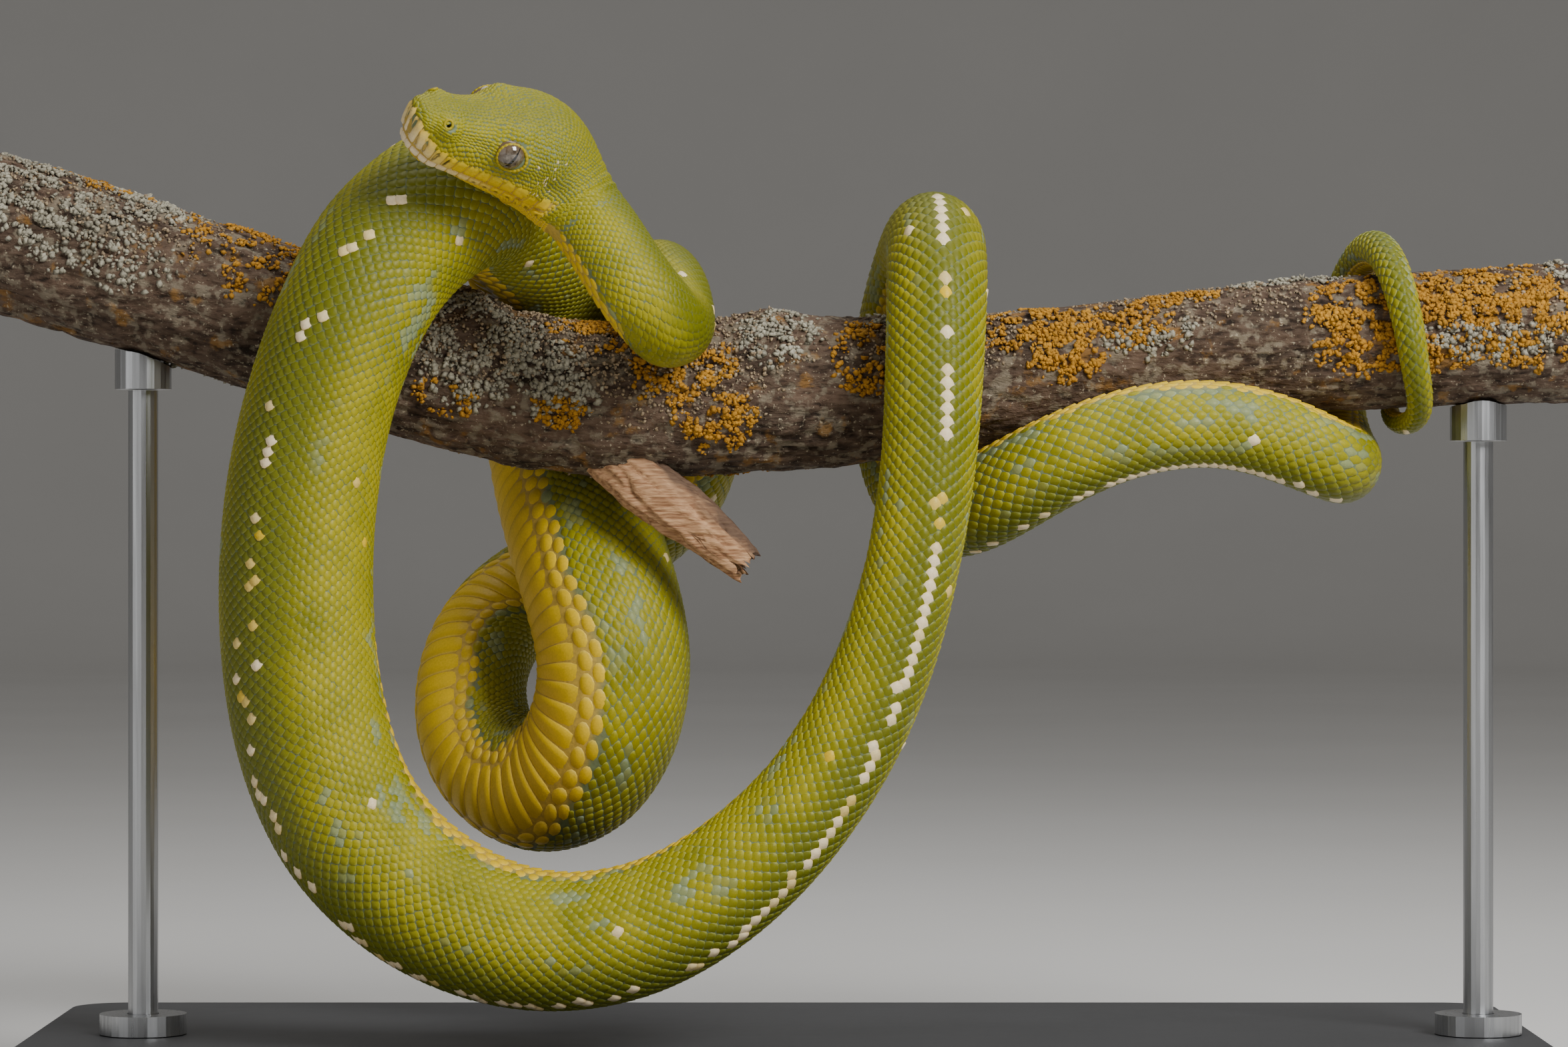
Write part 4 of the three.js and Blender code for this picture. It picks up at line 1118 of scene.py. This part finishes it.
def buildBranch():
    low, high = branch["rows"][0][0], branch["rows"][-1][0]
    stations = np.linspace(low, high, int((high - low) / branch["step"]))
    sides = branch["sides"]
    x, turn = np.meshgrid(stations, np.arange(sides) / sides * 2 * math.pi, indexing="ij")
    points = branchPoint(x.ravel(), turn.ravel(), 0)
    rings = len(stations)
    quads = ringQuads(rings, sides)
    middleLow, middleHigh = branchAt(float(low))[0], branchAt(float(high))[0]
    ends = np.array([(low, 0, middleLow), (high, 0, middleHigh)])
    points = np.vstack([points, ends])
    k = np.arange(sides)
    nextK, last = (k + 1) % sides, (rings - 1) * sides
    fans = np.vstack([np.c_[np.full(sides, len(points) - 2), nextK, k],
                      np.c_[np.full(sides, len(points) - 1), last + k, last + nextK]])
    piece = makeMesh("branch_bark", points, [quads, fans], barkMaterial())
    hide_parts("perch")
    return piece


buildBranch()
print("branch ready")

# Lichen: patches of small domed lobes
# Rows: along the branch, degrees round it, half length, half width, lobes
lichen = {
    "orange": [(-205, 95, 22, 30, 260), (-160, 60, 20, 55, 420), (-125, 95, 28, 26, 300),
               (-50, 62, 20, 26, 420),
               (-30, 20, 17, 30, 420), (-20, -20, 12, 26, 260), (-66, -14, 9, 14, 100), (24, 30, 10, 40, 200),
               (-100, -20, 10, 16, 90), (76, 52, 20, 34, 520), (104, 40, 12, 30, 200), (118, 66, 14, 16, 160),
               (84, 10, 12, 22, 200), (170, 20, 16, 52, 640), (205, 40, 26, 46, 900), (222, 5, 18, 40, 520),
               (190, -15, 16, 20, 200), (80, 150, 60, 40, 420), (-120, 170, 60, 40, 380),
               (200, 160, 30, 50, 300),
               (-20, 230, 60, 40, 260)],
    "grey": [(-222, 55, 18, 60, 620), (-190, 80, 18, 36, 420), (-205, 15, 26, 34, 300),
             (-90, 40, 20, 34, 420),
             (-70, 10, 16, 34, 320), (-95, 5, 14, 30, 220), (-2, 50, 14, 30, 240), (30, 70, 12, 20, 130),
             (110, 20, 16, 20, 130), (150, 80, 20, 12, 120), (210, -5, 26, 18, 220), (-60, 150, 60, 50, 360),
             (120, 200, 60, 50, 300), (-170, 220, 50, 50, 260), (232, 70, 6, 30, 90)],
    "crust": [(-95, 50, 44, 62, 1500), (-30, 40, 40, 66, 1500), (45, 50, 30, 50, 700), (125, 60, 40, 40, 500),
              (-200, 60, 40, 60, 900), (-60, 200, 80, 80, 700), (90, 200, 90, 80, 700),
              (215, 30, 20, 60, 300)],
    "lobeSize": {"orange": 0.78, "grey": 0.82, "crust": 0.50},
    "crowd": {"orange": 2.4, "grey": 2.3, "crust": 1.0},
    "gaps": {"orange": 0.44, "grey": 0.44, "crust": 0.30},
    "reach": 234,                       # no lobes past this, so the cut ends stay bare
    "seed": 77,
}
bodySamples = np.arange(0, bodyEnd, 4.0)
bodyMiddles, bodyGirths = middleAt(bodySamples), girthAt(bodySamples)


def clearOfBody(points, room):
    clear = np.ones(len(points), bool)
    for middle, girth in zip(bodyMiddles, bodyGirths):
        clear &= np.linalg.norm(points - middle, axis=1) > girth + room
    return clear


def buildLichen(kind, material, seed):
    shake = np.random.default_rng(seed)
    x, turn, lift = [], [], []
    for middle, angle, halfLong, halfWide, count in lichen[kind]:
        count = int(count * lichen["crowd"][kind])
        reach = np.sqrt(shake.random(count)) * (0.75 + 0.35 * shake.random(count))
        spin = shake.random(count) * 2 * math.pi
        x.append(middle + reach * np.cos(spin) * halfLong)
        turn.append(np.radians(angle + reach * np.sin(spin) * halfWide))
        lift.append((1 - reach**2) * 0.9)
    x, turn = np.concatenate(x), np.concatenate(turn) % (2 * math.pi)
    lift = np.clip(np.concatenate(lift), 0, 1)
    grown = layeredNoise(x / 4, turn * 6, seed, 0, 3) > lichen["gaps"][kind]
    keep = (np.abs(x) < lichen["reach"]) & grown
    x, turn, lift = x[keep], turn[keep], lift[keep]
    places = branchPoint(x, turn, 0.1 + lift * shake.random(len(x)) * 1.1)
    keep = clearOfBody(places, 2.2)
    x, turn, places = x[keep], turn[keep], places[keep]
    count = len(x)
    out = np.stack([np.zeros(count), -np.cos(turn), np.sin(turn)], -1)
    tip = unit(out + shake.normal(0, 0.32, (count, 3)))
    first = unit(np.cross(tip, shake.normal(0, 1, (count, 3))))
    second = np.cross(tip, first)
    size = lichen["lobeSize"][kind] * (0.5 + shake.random(count)**1.5)
    corners = 6
    spin = np.arange(corners) / corners * 2 * math.pi
    ring = 1 + 0.22 * np.sin(spin * 2 + shake.random((count, 1)) * 6)
    rimUp = 0.22 * np.sin(spin * 2 + shake.random((count, 1)) * 6)
    cosine, sine = np.cos(spin)[None, :, None], np.sin(spin)[None, :, None]
    rim = (places[:, None] + (first[:, None] * cosine + second[:, None] * sine)
           * (ring * size[:, None])[..., None] + tip[:, None] * (rimUp * size[:, None])[..., None])
    crown = places + tip * (0.50 * size)[:, None]
    root = places - out * 0.9
    points = np.concatenate([rim, crown[:, None], root[:, None]], 1)
    each = corners + 2
    k = np.arange(corners)
    nextK = (k + 1) % corners
    caps = np.r_[np.c_[k, nextK, np.full(corners, corners)], np.c_[nextK, k, np.full(corners, corners + 1)]]
    start = (np.arange(count) * each)[:, None, None]
    tone = np.repeat(shake.random(count), each)
    edge = np.tile(np.r_[np.full(corners, 0.15), 1, 0], count)
    piece = makeMesh("lichen_" + kind, points.reshape(-1, 3), [(start + caps).reshape(-1, 3)],
                     material, colours={"growth": np.c_[edge, tone, np.zeros(len(tone))]})
    print("lichen", kind + ":", count)
    return piece


def lichenMaterial(name, deep, light, rimColour):
    material, tree, shader = newMaterial(name)
    source = addNode(tree, "Attribute", attribute_name="growth")
    parts = addNode(tree, "SeparateColor")
    tree.links.new(source.outputs["Color"], parts.inputs[0])
    grain = noiseAt(tree, 700, 4)
    cloud = noiseAt(tree, 90, 3)
    colour = mixColour(tree, parts.outputs[1], deep, light)
    colour = mixColour(tree, ramp(tree, cloud, [(0.35, 0.0), (0.7, 0.5)]), colour, rimColour)
    colour = mixColour(tree, ramp(tree, parts.outputs[0], [(0.0, 0.0), (1.0, 0.45)]), colour, rimColour)
    pores = ramp(tree, grain, [(0.3, 0.45), (0.6, 0.0)])
    colour = mixColour(tree, pores, colour, tuple(c * 0.3 for c in deep))
    tree.links.new(colour, shader.inputs["Base Color"])
    shader.inputs["Roughness"].default_value = 0.9
    shader.inputs["Specular IOR Level"].default_value = 0.2
    addBump(tree, shader, grain, 0.6, 0.0006)
    return material


lichenFinishes = {
    "orange": ((0.20, 0.085, 0.012), (0.46, 0.20, 0.018), (0.62, 0.32, 0.035)),
    "grey": ((0.10, 0.085, 0.06), (0.33, 0.30, 0.22), (0.52, 0.49, 0.38)),
    "crust": ((0.07, 0.045, 0.028), (0.34, 0.25, 0.15), (0.50, 0.38, 0.24)),
}
for number, (kind, finish) in enumerate(lichenFinishes.items()):
    buildLichen(kind, lichenMaterial("lichen" + kind.title(), *finish), lichen["seed"] + number)

# Broken side shoot: split wood with a ragged tip, bark left on its upper edge
shoot = {
    "rows": [(-54, -6, 187, 7.8), (-44, -11, 178.5, 8.4), (-24, -14, 163, 8.0), (-9, -16, 151, 4.8)],
    "wide": (0.61, 0, 0.79), "flat": 0.60, "sides": 64, "rings": 120, "seed": 31,
    "dark": (0.22, 0.095, 0.038), "pale": (0.56, 0.33, 0.17), "bark": (0.07, 0.04, 0.025),
}
shootAt = splineThrough(np.array((0, 0.22, 0.66, 1)), shoot["rows"])


def shootPoint(along, turn, lift):
    x, y, z, half = np.moveaxis(shootAt(along), -1, 0)
    around = turn / (2 * math.pi)
    grain = layeredNoise(along * 4, around * 26, shoot["seed"], 26, 4) - 0.5
    split = np.abs(2 * softNoise(along * 2.2, around * 16, shoot["seed"] + 3, 16) - 1)
    reach = half + 2.6 * grain - 1.5 * (1 - ease(split, 0, 0.16)) + lift
    wide = unit(np.array(shoot["wide"], float))
    out = wide * np.cos(turn)[..., None] + np.array((0, -1.0, 0)) * (np.sin(turn) * shoot["flat"])[..., None]
    return np.stack([x, y, z], -1) + out * reach[..., None]


def woodMaterial():
    material, tree, shader = newMaterial("splitWood")
    source = addNode(tree, "Attribute", attribute_name="grainLine")
    parts = addNode(tree, "SeparateColor")
    tree.links.new(source.outputs["Color"], parts.inputs[0])
    place = addNode(tree, "TexCoord")
    turn = addNode(tree, "Mapping")
    turn.inputs["Rotation"].default_value = (0, math.radians(48), 0)
    turn.inputs["Scale"].default_value = (0.16, 1, 1.4)
    fibre = addNode(tree, "TexNoise", Scale=900, Detail=5)
    tree.links.new(place.outputs["Object"], turn.inputs["Vector"])
    tree.links.new(turn.outputs[0], fibre.inputs["Vector"])
    streaks = ramp(tree, fibre.outputs["Fac"], [(0.32, 0), (0.68, 1)])
    colour = mixColour(tree, streaks, shoot["dark"], shoot["pale"])
    colour = mixColour(tree, ramp(tree, parts.outputs[0], [(0.3, 0), (0.7, 0.85)]), colour, shoot["bark"])
    tree.links.new(colour, shader.inputs["Base Color"])
    shader.inputs["Roughness"].default_value = 0.8
    addBump(tree, shader, fibre.outputs["Fac"], 0.8, 0.0008)
    return material


def buildShoot():
    rings, sides = shoot["rings"], shoot["sides"]
    ends = 0.90 + 0.10 * softNoise(np.zeros(sides), np.arange(sides) / 2.2, shoot["seed"] + 5, sides)
    ends = ends - 0.06 * (np.arange(sides) % 5 == 0)
    share, turn = np.meshgrid(np.linspace(0, 1, rings), np.arange(sides) / sides * 2 * math.pi, indexing="ij")
    along = share * ends[None, :]
    points = shootPoint(along.ravel(), turn.ravel(), 0)
    points = np.vstack([points, shootAt(np.array([0.84]))[0][:3]])
    quads = ringQuads(rings, sides)[:, turnedOver]
    k, last = np.arange(sides), (rings - 1) * sides
    cap = np.c_[np.full(sides, len(points) - 1), last + (k + 1) % sides, last + k]
    barky = np.exp(-((np.degrees((turn.ravel() + math.pi) % (2 * math.pi)) - 180) / 62)**2)
    barky = barky * (0.5 + layeredNoise(along.ravel() * 8, turn.ravel() * 3, shoot["seed"] + 8))
    line = np.r_[barky, 0.0]
    piece = makeMesh("branch_shoot", points, [quads, cap], woodMaterial(),
                     colours={"grainLine": np.c_[line, line, line]})
    return piece


buildShoot()
print("lichen and shoot ready")

# Stand: the solids stay and get painted and brushed finishes
stand = {"base": (0.035, 0.036, 0.038), "baseRough": 0.5, "steel": (0.50, 0.51, 0.52), "steelRough": 0.32}


def baseMaterial():
    material, tree, shader = newMaterial("basePaint")
    cloud = noiseAt(tree, 14, 4)
    grain = noiseAt(tree, 1500, 2)
    colour = mixColour(tree, ramp(tree, cloud, [(0.3, 0), (0.7, 0.3)]), stand["base"], (0.06, 0.06, 0.062))
    tree.links.new(colour, shader.inputs["Base Color"])
    tree.links.new(ramp(tree, cloud, [(0.3, stand["baseRough"] - 0.06), (0.7, stand["baseRough"] + 0.08)]),
                   shader.inputs["Roughness"])
    addBump(tree, shader, grain, 0.2, 0.0003)
    return material


def steelMaterial():
    material, tree, shader = newMaterial("brushedSteel")
    brushed = noiseAt(tree, 700, 3, (1, 1, 0.03))
    colour = mixColour(tree, ramp(tree, brushed, [(0.3, 0), (0.7, 0.4)]), stand["steel"], (0.30, 0.30, 0.31))
    tree.links.new(colour, shader.inputs["Base Color"])
    shader.inputs["Metallic"].default_value = 1.0
    tree.links.new(ramp(tree, brushed, [(0.3, stand["steelRough"] - 0.08), (0.7, stand["steelRough"] + 0.1)]),
                   shader.inputs["Roughness"])
    addBump(tree, shader, brushed, 0.15, 0.0002)
    return material


baseFinish, steelFinish = baseMaterial(), steelMaterial()
for name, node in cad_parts.items():
    if name.startswith("stand_"):
        finish = baseFinish if name == "stand_base" else steelFinish
        for slot in node.material_slots:
            slot.material = finish
print("stand ready")

# Round floor that sweeps up far out on every side, lights and camera
studio = {
    "floor": (0.60, 0.59, 0.57), "flatReach": 4300.0, "sweep": 1200.0, "wallTop": 3400.0, "sides": 96,
    "world": (0.58, 0.57, 0.56), "worldStrength": 0.50,
    "keyPower": 31.0, "keyPlace": (0.80, -1.05, 1.0), "keySize": 0.6,
    "fillPower": 3.4, "fillPlace": (-1.1, -0.9, 0.45), "fillSize": 1.2,
    "topPower": 7.0, "topPlace": (0.1, 0.2, 1.3), "topSize": 1.0,
    "lightsAim": (0, 0, 0.16),
}


def buildFloor():
    material, tree, shader = newMaterial("floorPale")
    cloud = noiseAt(tree, 3, 3)
    shade = tuple(c * 0.96 for c in studio["floor"])
    colour = mixColour(tree, ramp(tree, cloud, [(0.3, 0), (0.7, 1)]), studio["floor"], shade)
    tree.links.new(colour, shader.inputs["Base Color"])
    shader.inputs["Roughness"].default_value = 0.85
    flat, sweep, sides = studio["flatReach"], studio["sweep"], studio["sides"]
    profile = [(radius, 0.0) for radius in (1.0, 1000.0, 2500.0, flat)]
    for turn in np.linspace(0, math.pi / 2, 25)[1:]:
        profile.append((flat + sweep * math.sin(turn), sweep * (1 - math.cos(turn))))
    profile.append((flat + sweep, studio["wallTop"]))
    spin = np.arange(sides) / sides * 2 * math.pi
    points = np.array([(reach * math.cos(a), reach * math.sin(a), z) for reach, z in profile for a in spin])
    floor = makeMesh("studio_floor", points, [ringQuads(len(profile), sides)[:, turnedOver]], material)


def addLight(name):
    light = bpy.data.lights.new(name, "AREA")
    light.energy, light.size = studio[name + "Power"], studio[name + "Size"]
    lamp = bpy.data.objects.new(name, light)
    lamp.location = studio[name + "Place"]
    aim = np.array(studio["lightsAim"]) - np.array(studio[name + "Place"])
    tilt = math.atan2(math.hypot(aim[0], aim[1]), -aim[2])
    lamp.rotation_euler = (tilt, 0, math.atan2(aim[1], aim[0]) - math.pi / 2)
    bpy.context.scene.collection.objects.link(lamp)


buildFloor()
for name in ("key", "fill", "top"):
    addLight(name)
world = bpy.data.worlds.new("studio")
world.use_nodes = True
world.node_tree.nodes["Background"].inputs[0].default_value = (*studio["world"], 1)
world.node_tree.nodes["Background"].inputs[1].default_value = studio["worldStrength"]
bpy.context.scene.world = world

view = {"distance": 1.5, "height": 0.165, "fieldWidth": 0.4698, "sensor": 36.0}
camera = bpy.data.cameras.new("camera")
camera.sensor_width = view["sensor"]
camera.lens = view["sensor"] * view["distance"] / view["fieldWidth"]
viewer = bpy.data.objects.new("camera", camera)
viewer.location = (0, -view["distance"], view["height"])
viewer.rotation_euler = (math.pi / 2, 0, 0)
bpy.context.scene.collection.objects.link(viewer)
bpy.context.scene.camera = viewer
print("studio ready")
